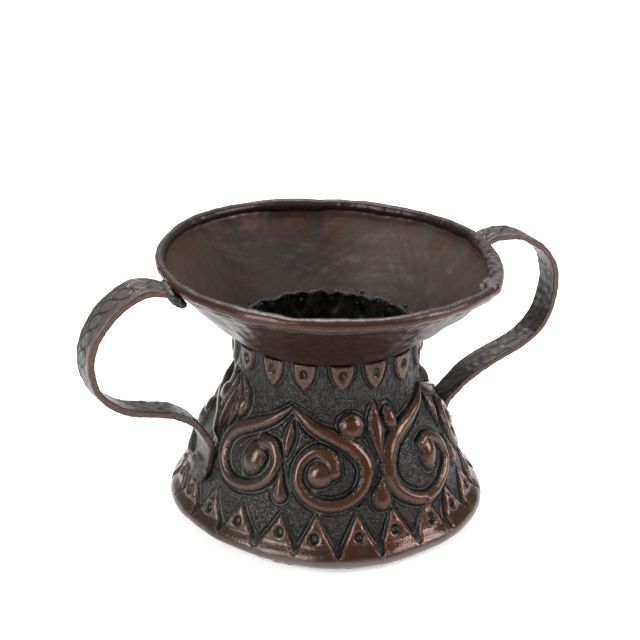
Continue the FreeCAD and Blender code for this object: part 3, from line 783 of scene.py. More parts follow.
def chased_leaves(along, across, length, toward_front):
    """Depth of the row of pointed ovals cut into a strap's outer face, from its upper end down."""
    cut = np.zeros(np.broadcast(along, across).shape)
    lean = LEAF_LEAN * toward_front
    for count in range(int(length / LEAF_PITCH)):
        x = along - (LEAF_START + count * LEAF_PITCH)
        y = across - 0.1 * toward_front
        u = x * math.cos(lean) + y * math.sin(lean)
        v = -x * math.sin(lean) + y * math.cos(lean)
        bow = LEAF_HALF_WIDTH * np.clip(1 - (u / LEAF_HALF_LENGTH) ** 2, 0, None)
        outline = np.where(np.abs(u) < LEAF_HALF_LENGTH, np.abs(np.abs(v) - bow), 9)
        cut = np.maximum(cut, bell(outline, 0.26) * (1 if count < DEEP_LEAVES else 0.45))
    border = bell(across - BORDER_OFFSET * toward_front, 0.24)
    border *= step(4, 8, along) * (1 - step(length - 6, length, along))
    return np.maximum(cut, border * 0.8)


def make_handle(side_name, side, path, widening, tilt, seed):
    """One strap handle, bent, filed and chased by hand."""
    width = STRAP_WIDTH * widening
    line = smooth_line(path, 40)
    length = np.concatenate([[0], np.cumsum(np.hypot(*np.diff(line, axis=0).T))])
    rows = int(length[-1] / STRAP_STEP)
    along = np.linspace(0, length[-1], rows)
    middle = np.stack([np.interp(along, length, line[:, 0]), np.interp(along, length, line[:, 1])], axis=-1)
    heading = np.gradient(middle, axis=0)
    heading /= np.linalg.norm(heading, axis=1)[:, None]
    outward = np.stack([-heading[:, 1], heading[:, 0]], axis=-1)
    section = strap_section(width, 40, 8)
    across = section[:, 0][None, :] * np.ones((rows, 1))
    through = section[:, 1][None, :] * np.ones((rows, 1))
    strip = np.stack([along[:, None] + 0 * across, across, through], axis=-1)
    swell = rough(strip * [1, 0.2, 0], 24.0, seed) * 0.03
    across = across * (1 + swell + rough(strip * [1, 0, 0], 9.0, seed + 1) * 0.012)
    on_face = step(0.75, 1.05, through) * (1 - step(0.42, 0.46, np.abs(across) / width))
    cut = chased_leaves(strip[..., 0], strip[..., 1] * LEAF_SET_WIDTH / width, LEAF_RUN, -side) * on_face
    through = through - cut * CHASING_DEPTH
    uneven = rough(strip, 3.0, seed + 2) * 0.05 + rough(strip, 10.0, seed + 3) * 0.06
    through = through * (1 + uneven)
    twist = rough(strip * [1, 0, 0], 60.0, seed + 4) * 0.02
    tilted = step(8, 20, strip[..., 0]) * (1 - step(length[-1] - 45, length[-1] - 25, strip[..., 0]))
    twist += tilt * tilted
    radii = middle[:, 0][:, None] + outward[:, 0][:, None] * (through + across * twist)
    heights = middle[:, 1][:, None] + outward[:, 1][:, None] * (through + across * twist)
    points = np.stack([side * radii, -side * across, heights], axis=-1)
    caps = []
    for end in (0, -1):
        centre = points[end].mean(axis=0)
        caps.append([centre + (points[end] - centre) * shrink for shrink in CAP_RINGS])
    points = np.concatenate([np.stack(caps[0][::-1]), points, np.stack(caps[1])])
    count, wide = points.shape[:2]
    index = np.arange(count * wide).reshape(count, wide)
    quads = np.stack(
        [index[:-1], np.roll(index, -1, axis=1)[:-1], np.roll(index, -1, axis=1)[1:], index[1:]], axis=-1
    ).reshape(-1, 4)
    faces = [tuple(quad) for quad in quads.tolist()]
    faces += [tuple(index[0][::-1].tolist()), tuple(index[-1].tolist())]
    pad = ((len(CAP_RINGS), len(CAP_RINGS)), (0, 0))
    rim = step(0.38, 0.48, np.abs(strip[..., 1]) / width)
    values = {
        "sunk": np.pad(cut, pad),
        "edge": np.pad(np.clip(rim, 0, 1), pad),
        "outer_face": np.pad(step(-0.4, 0.6, section[:, 1])[None, :] + 0 * across, pad),
        "side_face": np.pad(step(0.45, 0.5, np.abs(section[:, 0]) / width)[None, :] + 0 * across, pad),
    }
    piece = mesh_from(f"{side_name}_strap", hand_lean(points.reshape(-1, 3)), faces, values)
    finish_piece(piece, [f"{side_name}_handle"], strap_copper())


# ---------------------------------------------------------------- solder and braze


def ball_points(rows, columns):
    """Directions over a ball, its two poles left out."""
    tilt = np.linspace(0, np.pi, rows + 2)[1:-1][:, None]
    turn = (np.arange(columns) * 2 * np.pi / columns)[None, :]
    return np.stack(
        [np.sin(tilt) * np.cos(turn), np.sin(tilt) * np.sin(turn), np.cos(tilt) + 0 * turn], axis=-1
    )


def blob(centre, half_sizes, turn, seed, lumpy, rows=26, columns=44):
    """Points and faces of a lump of metal that ran and set."""
    directions = ball_points(rows, columns)
    poles = np.array([[0, 0, 1.0], [0, 0, -1.0]])
    directions = np.concatenate([directions.reshape(-1, 3), poles])
    shape = directions * half_sizes
    swell = 1 + rough(shape, 3.4, seed) * lumpy * 0.6 + rough(shape, 1.3, seed + 1) * lumpy * 0.35
    spin = np.array(Matrix.Rotation(turn, 3, "Y"))
    points = (shape * swell[:, None]) @ spin.T + centre
    index = np.arange(rows * columns).reshape(rows, columns)
    beyond = np.roll(index, -1, axis=1)
    quads = np.stack([index[:-1], index[1:], beyond[1:], beyond[:-1]], axis=-1).reshape(-1, 4)
    top, bottom = rows * columns, rows * columns + 1
    faces = quads.tolist()
    faces += [[top, index[0, i], beyond[0, i]] for i in range(columns)]
    faces += [[bottom, beyond[-1, i], index[-1, i]] for i in range(columns)]
    return points, faces


def joined(parts):
    """Several lumps as one set of points and faces."""
    points, faces = [], []
    for some_points, some_faces in parts:
        offset = sum(len(part) for part in points)
        points.append(some_points)
        faces += [[int(corner) + offset for corner in face] for face in some_faces]
    return np.concatenate(points), faces


# Lumps of braze at a strap's upper end: how far out, across and up, half sizes, lumpiness, step of seed.
UPPER_BRAZE = (
    (56.3, 0.2, 86.7, (1.5, 5.9, 2.4), 0.16, 0), (60.2, -0.4, 91.2, (1.9, 5.8, 1.5), 0.14, 5),
    (57.2, -4.9, 87.6, (1.4, 1.7, 2.2), 0.18, 9), (59.0, -5.5, 88.6, (1.5, 1.1, 3.8), 0.16, 13),
)


def make_braze(side_name, side, level, seed):
    """The lumps of braze that hold one end of a strap."""
    low, high = node_box(f"{side_name}_handle_{level}_braze")
    middle = (low + high) / 2
    half = (high - low) / 2
    if level == "upper":
        lean = side * mouth_slope()
        parts = [
            blob((side * out, across, up), lump, lean, seed + more, lumpy)
            for out, across, up, lump, lumpy, more in UPPER_BRAZE
        ]
    else:
        lean = -side * math.atan2(BODY_RADII[0] - NECK_RADIUS, NECK_HEIGHT)
        parts = [
            blob(middle + [side * 0.5, 0, 0.3], half * [0.8, 0.82, 0.95], lean, seed, 0.12),
            blob(middle + [side * -0.6, 3.2, 3.4], (1.5, 1.5, 2.0), lean, seed + 5, 0.2),
        ]
    points, faces = joined(parts)
    piece = mesh_from(f"{side_name}_{level}_braze_run", hand_lean(points), faces)
    finish_piece(piece, [f"{side_name}_handle_{level}_braze"], braze_metal())


CRUMBS = 26


def make_neck_solder():
    """Rough bead of solder in the throat, with the crumbs that ran from it."""
    rows, columns = 420, 20
    seen = turns(rows)
    circle = unit_circle(seen) * 32
    size = 0.62 + rough(circle, 5.0, 41) * 0.26 + rough(circle, 2.0, 42) * 0.14
    size = np.maximum(size, 0.25)
    lift = rough(circle, 7.0, 43) * 0.45
    around = np.radians(turns(columns))[None, :]
    corner = NECK_RADIUS - BODY_WALL
    radii = corner - 0.1 + size[:, None] * np.cos(around) * 0.95
    heights = NECK_HEIGHT + 0.3 + lift[:, None] + size[:, None] * np.sin(around) * 1.15
    points = turned(radii, heights, seen - FRONT_TURN)
    points += rough(points, 0.9, 44)[..., None] * 0.06
    parts = [(points.reshape(-1, 3), ring_faces(rows, columns).tolist())]
    draw = np.random.default_rng(45)
    for count in range(CRUMBS):
        place = math.radians(draw.uniform(0, FULL_TURN))
        low = draw.random() < 0.7
        radius = corner - draw.uniform(0.1, 0.5) if low else corner + draw.uniform(0.4, 1.6)
        height = NECK_HEIGHT - draw.uniform(0.6, 3.2) if low else NECK_HEIGHT + draw.uniform(0.8, 2.0)
        grain = draw.uniform(0.35, 1.0)
        centre = (radius * math.cos(place), radius * math.sin(place), height)
        parts.append(blob(centre, (grain, grain * 0.8, grain * 0.7), place, 50 + count, 0.3, 8, 12))
    points, faces = joined(parts)
    piece = mesh_from("throat_solder", hand_lean(points), faces)
    finish_piece(piece, ["neck_seam_solder"], soft_solder())


def make_floor_solder():
    """Bead that makes the floor tight inside the foot."""
    seen = turns(300)
    size = 1.5 + rough(unit_circle(seen) * 50, 6.0, 61) * 0.2
    around = np.radians(turns(14))[None, :]
    edge = node_box("bottom_seam_solder")[1][0] - 1.9
    radii = edge + size[:, None] * np.cos(around) * 0.8
    heights = FLOOR_HIGH[2] + 0.3 + size[:, None] * np.sin(around) * 0.6
    piece = closed_ring("floor_solder", knocked(turned(radii, heights, seen)))
    finish_piece(piece, ["bottom_seam_solder"], soft_solder())


# Lumps of solder on the rim's join: how far along the rim, out and up, half sizes.
JOIN_LUMPS = (
    (0.4, 0.0, 1.5, (1.9, 2.8, 1.4)), (2.4, -1.2, 1.2, (2.0, 2.4, 1.5)), (4.4, -2.2, 0.1, (1.7, 2.2, 1.6)),
    (1.0, -2.4, 0.0, (1.6, 2.1, 1.5)), (-1.4, 0.8, 1.2, (1.4, 2.2, 1.1)),
)
JOIN_INSET = 0.7


def make_rim_patch():
    """Solder over the place where the two ends of the rolled rim meet."""
    turn = math.radians(JOIN_TURN - FRONT_TURN)
    out, up, _ = (part[0] for part in rim_shift(np.array([JOIN_TURN])))
    parts = []
    for count, (along, across, above, half) in enumerate(JOIN_LUMPS):
        place = turn + along / RIM_RADIUS
        radius = RIM_RADIUS + out + across - JOIN_INSET
        centre = [radius * math.cos(place), radius * math.sin(place), RIM_HEIGHT + up + above]
        points, faces = blob((0, 0, 0), half, 0.4, 71 + count * 3, 0.24)
        spin = np.array(Matrix.Rotation(place, 3, "Z"))
        parts.append((points @ spin.T + centre, faces))
    points, faces = joined(parts)
    piece = mesh_from("rim_join", hand_lean(points), faces)
    finish_piece(piece, ["rim_patch"], join_metal())


FLOOR_DISHING = 0.7
FLOOR_HAMMERED = 0.93  # share of the floor's radius that is hammered


def make_floor_disc():
    """Hammered floor of the vessel."""
    rows, columns = 260, 90
    reach = FLOOR_HIGH[0]
    part = np.linspace(0, 1, columns)[1:]
    radii = np.concatenate([reach * part, reach * part[::-1]])
    heights = np.concatenate([np.full_like(part, FLOOR_LOW[2]), np.full_like(part, FLOOR_HIGH[2])])
    points = turned(radii, heights, turns(rows))
    level = points * [1, 1, 0]
    out = np.hypot(points[..., 0], points[..., 1]) / reach
    marks = rough(level, 7.0, 81) * 0.09 + rough(level, 20.0, 82) * 0.1 + FLOOR_DISHING * (1 - out**2)
    points[..., 2] += np.where(out < FLOOR_HAMMERED, marks, 0.0)
    grid = points.reshape(-1, 3)
    wide = points.shape[1]
    index = np.arange(rows * wide).reshape(rows, wide)
    beyond = np.roll(index, -1, axis=0)
    quads = np.stack([index[:, :-1], index[:, 1:], beyond[:, 1:], beyond[:, :-1]], axis=-1).reshape(-1, 4)
    under = len(grid)
    centre = points[:, 0].mean(axis=0), points[:, -1].mean(axis=0)
    grid = np.concatenate([grid, np.stack(centre)])
    faces = quads[:, ::-1].tolist()
    faces += [[under, beyond[i, 0], index[i, 0]][::-1] for i in range(rows)]
    faces += [[under + 1, index[i, -1], beyond[i, -1]][::-1] for i in range(rows)]
    piece = mesh_from("hammered_floor", knocked(grid), faces)
    finish_piece(piece, ["bottom_disc"], floor_copper())


# ---------------------------------------------------------------- finishes


def node(tree, kind, settings=None, **inputs):
    """Shader node with its settings, its inputs set or linked."""
    made = tree.nodes.new(kind)
    for name, value in (settings or {}).items():
        setattr(made, name, value)
    for name, value in inputs.items():
        socket = made.inputs[int(name[1:])] if name[0] == "i" and name[1:].isdigit() else None
        socket = socket or made.inputs[name.replace("_", " ")]
        if isinstance(value, bpy.types.NodeSocket):
            tree.links.new(value, socket)
        else:
            socket.default_value = value
    return made


def sum_of(tree, operation, first, second, clamp=False):
    """Result of a sum on two values."""
    made = node(tree, "ShaderNodeMath", {"operation": operation, "use_clamp": clamp}, i0=first, i1=second)
    return made.outputs[0]


def times(tree, first, second, clamp=False):
    """One value multiplied by another."""
    return sum_of(tree, "MULTIPLY", first, second, clamp)


def plus(tree, first, second, clamp=False):
    """One value added to another."""
    return sum_of(tree, "ADD", first, second, clamp)


def minus(tree, first, second, clamp=False):
    """One value taken from another."""
    return sum_of(tree, "SUBTRACT", first, second, clamp)


def blend_colour(tree, factor, first, second):
    """One colour laid over another."""
    made = node(tree, "ShaderNodeMix", {"data_type": "RGBA"}, i0=factor, i6=first, i7=second)
    return made.outputs[2]


def spread(tree, value, low, high, to_low=0.0, to_high=1.0):
    """A value stretched from one range to another, and held inside it."""
    made = node(
        tree, "ShaderNodeMapRange", {"clamp": True}, Value=value, i1=low, i2=high, i3=to_low, i4=to_high
    )
    return made.outputs[0]


def named_value(tree, name):
    """A value carried by a piece's points."""
    made = node(tree, "ShaderNodeAttribute", {"attribute_name": name})
    return made.outputs["Fac"]


def millimetres(tree):
    """Place on the object, in millimetres."""
    place = node(tree, "ShaderNodeTexCoord").outputs["Object"]
    return node(tree, "ShaderNodeVectorMath", {"operation": "SCALE"}, i0=place, Scale=1000.0).outputs[0]


def noise(tree, place, scale, detail=3.0, roughness=0.55):
    """Cloudy noise."""
    settings = {"Vector": place, "Scale": scale, "Detail": detail, "Roughness": roughness}
    return node(tree, "ShaderNodeTexNoise", None, **settings).outputs[0]


def upward(tree):
    """How far the surface faces up: 1 for a level top, -1 for an underside."""
    facing = node(tree, "ShaderNodeNewGeometry").outputs["Normal"]
    return node(tree, "ShaderNodeSeparateXYZ", None, Vector=facing).outputs["Z"]


def effect(name, inputs, outputs, fill):
    """Shader node group with named inputs and outputs, made once."""
    if name in bpy.data.node_groups:
        return bpy.data.node_groups[name]
    tree = bpy.data.node_groups.new(name, "ShaderNodeTree")
    for label, kind in inputs:
        tree.interface.new_socket(label, in_out="INPUT", socket_type=kind)
    for label, kind in outputs:
        tree.interface.new_socket(label, in_out="OUTPUT", socket_type=kind)
    given = tree.nodes.new("NodeGroupInput")
    results = tree.nodes.new("NodeGroupOutput")
    for label, socket in fill(tree, given.outputs).items():
        tree.links.new(socket, results.inputs[label])
    return tree


VALUE, COLOUR = "NodeSocketFloat", "NodeSocketColor"


def patina_effect():
    """Brown patina, rubbed through to warmer copper where the metal is worn."""

    def fill(tree, given):
        place = millimetres(tree)
        clouds = noise(tree, place, 0.11, 4.0)
        mottle = noise(tree, place, 0.75, 4.0, 0.65)
        cloud_part = times(tree, minus(tree, clouds, 0.5), given["Blotches"])
        mottle_part = times(tree, minus(tree, mottle, 0.5), given["Mottle"])
        share = plus(tree, times(tree, given["Worn"], 0.8), 0.2)
        change = times(tree, plus(tree, cloud_part, mottle_part), share)
        wear = plus(tree, given["Worn"], change, True)
        colour = blend_colour(tree, wear, given["Dark"], given["Warm"])
        rub = times(tree, given["Edge"], spread(tree, mottle, 0.35, 0.65, 0.25, 1.0), True)
        colour = blend_colour(tree, rub, colour, given["Pale"])
        colour = blend_colour(tree, given["Sunk"], colour, given["Grime"])
        gloss = spread(tree, minus(tree, wear, given["Sunk"]), 0.0, 1.0)
        return {"Color": colour, "Gloss": gloss}

    colours = [(label, COLOUR) for label in ("Dark", "Warm", "Pale", "Grime")]
    values = [(label, VALUE) for label in ("Worn", "Edge", "Sunk", "Blotches", "Mottle")]
    return effect("Rubbed patina", colours + values, [("Color", COLOUR), ("Gloss", VALUE)], fill)


def bloom_effect():
    """Green bloom that gathers in patches and hollows."""

    def fill(tree, given):
        place = millimetres(tree)
        patches = noise(tree, place, 0.16, 5.0, 0.62)
        grains = noise(tree, place, 1.5, 3.0)
        gathered = plus(tree, patches, times(tree, given["Sunk"], 0.12))
        low = minus(tree, 0.74, times(tree, given["Amount"], 0.3))
        part = times(tree, minus(tree, gathered, low), 6.0, True)
        mask = times(tree, part, spread(tree, grains, 0.3, 0.6, 0.3, 1.0), True)
        return {"Mask": mask}

    return effect("Green bloom", [("Amount", VALUE), ("Sunk", VALUE)], [("Mask", VALUE)], fill)


def handwork_effect():
    """Pits, scratches and small dents left by tools and use, with pale flecks over the pits for painted
    glints.
    """

    def fill(tree, given):
        place = millimetres(tree)
        dents = noise(tree, place, 0.28, 2.0)
        pits = noise(tree, place, 2.2, 4.0, 0.7)
        dent_part = times(tree, dents, given["Dents"])
        pit_part = times(tree, pits, given["Pits"])
        stretch = node(tree, "ShaderNodeMapping", None, Vector=place, Scale=(0.35, 0.35, 3.6)).outputs[0]
        lines = noise(tree, stretch, 1.0, 2.0, 0.6)
        line_part = times(tree, lines, given["Scratches"])
        height = plus(tree, plus(tree, dent_part, pit_part), line_part)
        # Pale flecks over the pits, used as painted glints.
        return {"Height": height, "Glints": spread(tree, pits, 0.56, 0.72)}

    values = [(label, VALUE) for label in ("Dents", "Pits", "Scratches")]
    return effect("Tool marks", values, [("Height", VALUE), ("Glints", VALUE)], fill)


def matting_effect():
    """Close dots struck with a matting punch."""

    def fill(tree, given):
        place = millimetres(tree)
        drift = noise(tree, place, 0.9, 1.0)
        wobble = node(tree, "ShaderNodeVectorMath", {"operation": "ADD"}, i0=place, i1=drift).outputs[0]
        cells = {"Vector": wobble, "Scale": given["Closeness"]}
        dots = node(tree, "ShaderNodeTexVoronoi", {"feature": "F1"}, **cells).outputs["Distance"]
        height = spread(tree, dots, 0.1, 0.6)
        return {"Height": height, "Dots": spread(tree, dots, 0.2, 0.55, 1.0, 0.0)}

    return effect("Matting punch", [("Closeness", VALUE)], [("Height", VALUE), ("Dots", VALUE)], fill)


def placed(tree, group, **inputs):
    """A node group placed in a material with its own values."""
    made = tree.nodes.new("ShaderNodeGroup")
    made.node_tree = group
    for name, value in inputs.items():
        if isinstance(value, bpy.types.NodeSocket):
            tree.links.new(value, made.inputs[name])
        else:
            made.inputs[name].default_value = value
    return made


METAL_IOR = 1.5


def new_metal(name, **sockets):
    """Material with its shader's own sockets set: the material, its tree and its shader."""
    material = bpy.data.materials.new(name)
    material.use_nodes = True
    tree = material.node_tree
    shader = tree.nodes["Principled BSDF"]
    for label, value in sockets.items():
        shader.inputs[label.replace("_", " ")].default_value = value
    return material, tree, shader


def coated(metal, colour, roughness, height, depth):
    """The material, once its colour, its roughness and a height, in millimetres, are fed to its shader."""
    material, tree, shader = metal
    bump = node(tree, "ShaderNodeBump", None, Strength=1.0, Distance=depth * MM, Height=height)
    for label, socket in (("Base Color", colour), ("Roughness", roughness), ("Normal", bump.outputs[0])):
        tree.links.new(socket, shader.inputs[label])
    return material


def colours():
    """The colours that a user may change."""
    return bpy.context.scene.pot_colours


WHITE = (1.0, 1.0, 1.0, 1.0)


def shade(colour, amount):
    """A colour made darker or lighter."""
    return tuple(part * amount for part in colour[:3]) + (1.0,)


LEFT_SHEEN_FROM = -42.0  # millimetres along X from where the painted sheen of the left light is full on the left side
FLOOR_SHEEN_BAND = (6.8, 4.6)  # heights over which a painted reflection of the pale floor lightens the foot


def raised_copper():
    """Embossed copper: brown-black ground, worn red brown on the raised work, with a painted sheen on the
    left side, a painted floor reflection at the foot and painted glints on the bare ground.
    """
    own = colours()
    metal = new_metal("embossed_copper", Metallic=0.4, IOR=METAL_IOR, Specular_IOR_Level=0.46)
    tree = metal[1]
    worn, sunk, edge = (named_value(tree, name) for name in ("worn", "sunk", "edge"))
    patina = placed(
        tree, patina_effect(), Dark=own.ground, Warm=own.worn_copper, Pale=own.rubbed_edge_and_glint, Grime=own.grime,
        Worn=worn, Edge=times(tree, edge, 0.55), Sunk=times(tree, sunk, 0.8),
        Blotches=0.4, Mottle=0.2,
    )
    bloom = placed(tree, bloom_effect(), Amount=0.5, Sunk=sunk).outputs["Mask"]
    marks = placed(tree, handwork_effect(), Dents=0.5, Pits=0.22, Scratches=0.05)
    punch = placed(tree, matting_effect(), Closeness=1.35)
    bare = minus(tree, 1.0, worn, True)
    bare = times(tree, bare, minus(tree, 1.0, sunk, True))
    parts = node(tree, "ShaderNodeSeparateXYZ", None, Vector=millimetres(tree)).outputs
    dots = times(tree, punch.outputs["Height"], bare)
    # Painted sheen of the left light: towards the left the real green bloom is made stronger.
    left_sheen_bloom = spread(tree, parts["X"], -12.0, LEFT_SHEEN_FROM, 0.3, 1.0)
    colour = blend_colour(tree, times(tree, bloom, left_sheen_bloom), patina.outputs["Color"], own.green_bloom)
    # Painted reflection of the pale floor on the foot's lowest band.
    floor_sheen = spread(tree, parts["Z"], *FLOOR_SHEEN_BAND, 0.0, 0.75)
    colour = blend_colour(tree, floor_sheen, colour, shade(own.strap_face, 2.5))
    # Painted sheen of the left light, as a grey-green wash over the left side.
    left_sheen = spread(tree, parts["X"], -10.0, LEFT_SHEEN_FROM, 0.0, 0.42)
    colour = blend_colour(tree, left_sheen, colour, shade(own.green_bloom, 0.5))
    # Painted glints: pale flecks on the bare ground.
    glint = times(tree, times(tree, marks.outputs["Glints"], bare), 0.2)
    colour = blend_colour(tree, glint, colour, own.rubbed_edge_and_glint)
    roughness = spread(tree, patina.outputs["Gloss"], 0.0, 1.0, 0.38, 0.15)
    height = plus(tree, times(tree, marks.outputs["Height"], 0.5), dots)
    return coated(metal, colour, roughness, height, 0.42)


LIT_MOUTH_SIDES = (18.0, 50.0)  # millimetres either way along X over which the inside's sides are painted lighter, as painted light
MOUTH_BLOOM = (-20.0, 35.0)  # millimetres along X over which the bloom gathers
UNDER_RIM = (11.0, 2.0)  # millimetres below the rim over which its copper shows


def mouth_copper():
    """Planished copper of the mouth, its inside greyer and its rim rubbed red; the inside's sides painted
    lighter as painted light, the roll's pale lines partly rubbed metal and partly painted highlight, and
    painted glints.
    """
    own = colours()
    metal = new_metal("planished_copper", Metallic=0.35, IOR=METAL_IOR, Specular_IOR_Level=0.36)
    tree = metal[1]
    worn, edge, inside, flap = (named_value(tree, name) for name in ("worn", "edge", "inside", "flap"))
    dark = blend_colour(tree, inside, own.mouth_outside, own.mouth_inside)
    place = millimetres(tree)
    parts = node(tree, "ShaderNodeSeparateXYZ", None, Vector=place).outputs
    # Painted light: the inside is laid lighter towards its left and right sides.
    aside = sum_of(tree, "ABSOLUTE", parts["X"], 0.0)
    lit = times(tree, inside, spread(tree, aside, *LIT_MOUTH_SIDES))
    dark = blend_colour(tree, lit, dark, own.lit_mouth_sides)
    warm = blend_colour(tree, inside, own.rim_copper, shade(own.rim_copper, 1.7))
    near_roll = spread(tree, parts["Z"], RIM_HEIGHT - UNDER_RIM[0], RIM_HEIGHT - UNDER_RIM[1])
    patchy = spread(tree, noise(tree, place, 0.09, 3.0), 0.42, 0.6)
    under_rim = times(tree, inside, times(tree, near_roll, patchy))
    wear = plus(tree, worn, times(tree, under_rim, 0.8), True)
    wear = plus(tree, wear, times(tree, inside, 0.12), True)
    # The roll's pale lines take a grey Pale colour: partly rubbed metal, partly painted highlight.
    patina = placed(
        tree, patina_effect(), Dark=dark, Warm=warm, Pale=shade(own.strap_face, 2.4), Grime=own.grime,
        Worn=wear, Edge=times(tree, edge, 0.8), Sunk=0.0, Blotches=1.5, Mottle=0.3,
    )
    bloom = placed(tree, bloom_effect(), Amount=0.55, Sunk=0.0).outputs["Mask"]
    strength = spread(tree, inside, 0.0, 1.0, 0.1, 0.22)
    shown = times(tree, strength, spread(tree, parts["X"], *MOUTH_BLOOM, 0.2, 1.0))
    part = times(tree, bloom, shown)
    colour = blend_colour(tree, part, patina.outputs["Color"], own.green_bloom)
    marks = placed(tree, handwork_effect(), Dents=0.7, Pits=0.12, Scratches=0.12)
    mottled = times(tree, flap, spread(tree, noise(tree, place, 0.34, 4.0), 0.4, 0.6))
    colour = blend_colour(tree, mottled, colour, shade(own.strap_face, 2.0))
    # Painted glints: pale flecks over the mouth's pits.
    mouth_glint = times(tree, marks.outputs["Glints"], 0.1)
    colour = blend_colour(tree, mouth_glint, colour, own.rubbed_edge_and_glint)
    satin = spread(tree, patina.outputs["Gloss"], 0.0, 1.0, 0.36, 0.26)
    roughness = plus(tree, satin, times(tree, inside, 0.08))
    return coated(metal, colour, roughness, marks.outputs["Height"], 0.24)


def strap_copper():
    """Filed copper strap: grey brown and satin, red along its edges; its faces painted lighter where they
    look up or outward and darker where they look down, as painted light and shade.
    """
    if "filed_copper" in bpy.data.materials:
        return bpy.data.materials["filed_copper"]
    own = colours()
    metal = new_metal("filed_copper", Metallic=0.35, IOR=METAL_IOR)
    tree = metal[1]
    names = ("sunk", "edge", "side_face", "outer_face")
    sunk, edge, side_face, outer_face = (named_value(tree, name) for name in names)
    # Painted light and shade: faces that look up, and the outer face, get a lit copy of the face colour, the
    # rest a shaded copy.
    level = upward(tree)
    outside = times(tree, outer_face, spread(tree, level, -0.2, 0.6, 0.2, 0.9))
    light = sum_of(tree, "MAXIMUM", spread(tree, level, 0.1, 0.8, 0.0, 0.58), outside)
    face = blend_colour(tree, light, shade(own.strap_face, 0.12), shade(own.strap_face, 1.5))
    warm = plus(tree, times(tree, side_face, 0.75), 0.12)
    patina = placed(
        tree, patina_effect(), Dark=face, Warm=own.strap_edge, Pale=own.rubbed_edge_and_glint, Grime=own.grime,
        Worn=warm, Edge=times(tree, edge, 0.2), Sunk=sunk, Blotches=0.6, Mottle=0.3,
    )
    bloom = placed(tree, bloom_effect(), Amount=0.4, Sunk=sunk).outputs["Mask"]
    colour = blend_colour(tree, times(tree, bloom, 0.4), patina.outputs["Color"], own.green_bloom)
    roughness = spread(tree, patina.outputs["Gloss"], 0.0, 1.0, 0.34, 0.27)
    place = millimetres(tree)
    filed = node(tree, "ShaderNodeMapping", None, Vector=place, Scale=(0.12, 3.2, 0.12)).outputs[0]
    lines = noise(tree, filed, 1.4, 3.0, 0.7)
    marks = placed(tree, handwork_effect(), Dents=0.6, Pits=0.12, Scratches=0.0)
    height = plus(tree, marks.outputs["Height"], times(tree, lines, 0.3))
    return coated(metal, colour, roughness, height, 0.22)


def lump_metal(name, dark, warm, green, worn=0.4, blotches=4.5, settled=0.0, **sockets):
    """Rough metal that ran and set: two tones, green in patches."""
    if name in bpy.data.materials:
        return bpy.data.materials[name]
    own = colours()
    metal = new_metal(name, IOR=METAL_IOR, **sockets)
    tree = metal[1]
    patina = placed(
        tree, patina_effect(), Dark=dark, Warm=warm, Pale=own.rubbed_edge_and_glint, Grime=own.grime,
        Worn=worn, Edge=0.0, Sunk=0.0, Blotches=blotches, Mottle=2.0,
    )
    bloom = placed(tree, bloom_effect(), Amount=green, Sunk=0.0).outputs["Mask"]
    colour = blend_colour(tree, bloom, patina.outputs["Color"], own.green_bloom)
    dust = spread(tree, upward(tree), 0.25, 0.75, 0.0, settled)
    colour = blend_colour(tree, dust, colour, own.green_bloom)
    roughness = spread(tree, patina.outputs["Gloss"], 0.0, 1.0, 0.5, 0.3)
    marks = placed(tree, handwork_effect(), Dents=0.8, Pits=0.5, Scratches=0.0)
    return coated(metal, colour, roughness, marks.outputs["Height"], 0.4)


def braze_metal():
    """Dull braze about the handles' ends."""
    own = colours()
    return lump_metal("dull_braze", own.braze, shade(own.braze, 2.2), 0.3, settled=0.85, Metallic=0.25)


def soft_solder():
    """Pale solder gone green."""
    own = colours()
    return lump_metal("pale_solder", shade(own.solder, 0.05), own.solder, 0.1, 0.14, 1.1, Metallic=0.3)


def join_metal():
    """Solder and copper over the rim's join."""
    own = colours()
    pale = shade(own.strap_face, 2.4)
    return lump_metal("rim_join_metal", shade(own.strap_face, 0.9), pale, 0.1, 0.5, 2.0, 0.3, Metallic=0.35)


def floor_copper():
    """Hammered copper of the floor."""
    own = colours()
    return lump_metal("floor_copper", shade(own.ground, 0.9), own.mouth_outside, 0.6, Metallic=0.35)


def plain_wire():
    """Drawn copper wire."""
    own = colours()
    return lump_metal("plain_wire", own.strap_edge, own.rim_copper, 0.2, Metallic=0.5)


# ---------------------------------------------------------------- stage

SENSOR_WIDTH = 36.0
CAMERA_TARGET = Vector((-2.43, 1.19, 70.0)) * MM
CAMERA_DISTANCE = 532.2 * MM
CAMERA_TURN = -26.0
CAMERA_RISE = 23.55
CAMERA_LENS = 84.46
CAMERA_ROLL = 1.0


def make_camera():
    """Camera that looks down at the pot from its front, left of its middle."""
    turn, rise = math.radians(CAMERA_TURN), math.radians(CAMERA_RISE)
    away = Vector((math.sin(turn) * math.cos(rise), -math.cos(turn) * math.cos(rise), math.sin(rise)))
    data = bpy.data.cameras.new("camera")
    data.lens = CAMERA_LENS
    data.sensor_width = SENSOR_WIDTH
    data.clip_start = 0.01
    camera = bpy.data.objects.new("camera", data)
    bpy.context.collection.objects.link(camera)
    spin = Matrix.Rotation(math.radians(CAMERA_ROLL), 4, "Z")
    aim = away.to_track_quat("Z", "Y").to_matrix().to_4x4()
    camera.matrix_world = Matrix.Translation(CAMERA_TARGET + away * CAMERA_DISTANCE) @ aim @ spin
    bpy.context.scene.camera = camera


# Each light's name, place and two sizes in metres, and its power in watts.
SOFT_LIGHTS = (
    ("left_soft_light", (-0.85, -0.35, 0.5), (0.4, 0.7), 11.0),
    ("right_soft_light", (0.8, -0.6, 0.6), (0.35, 0.6), 11.0),
    ("top_soft_light", (0.1, 0.35, 1.1), (0.8, 0.6), 13.0),
)
FLOOR_REACH = 6.0
ROOM_STRENGTH = 0.38


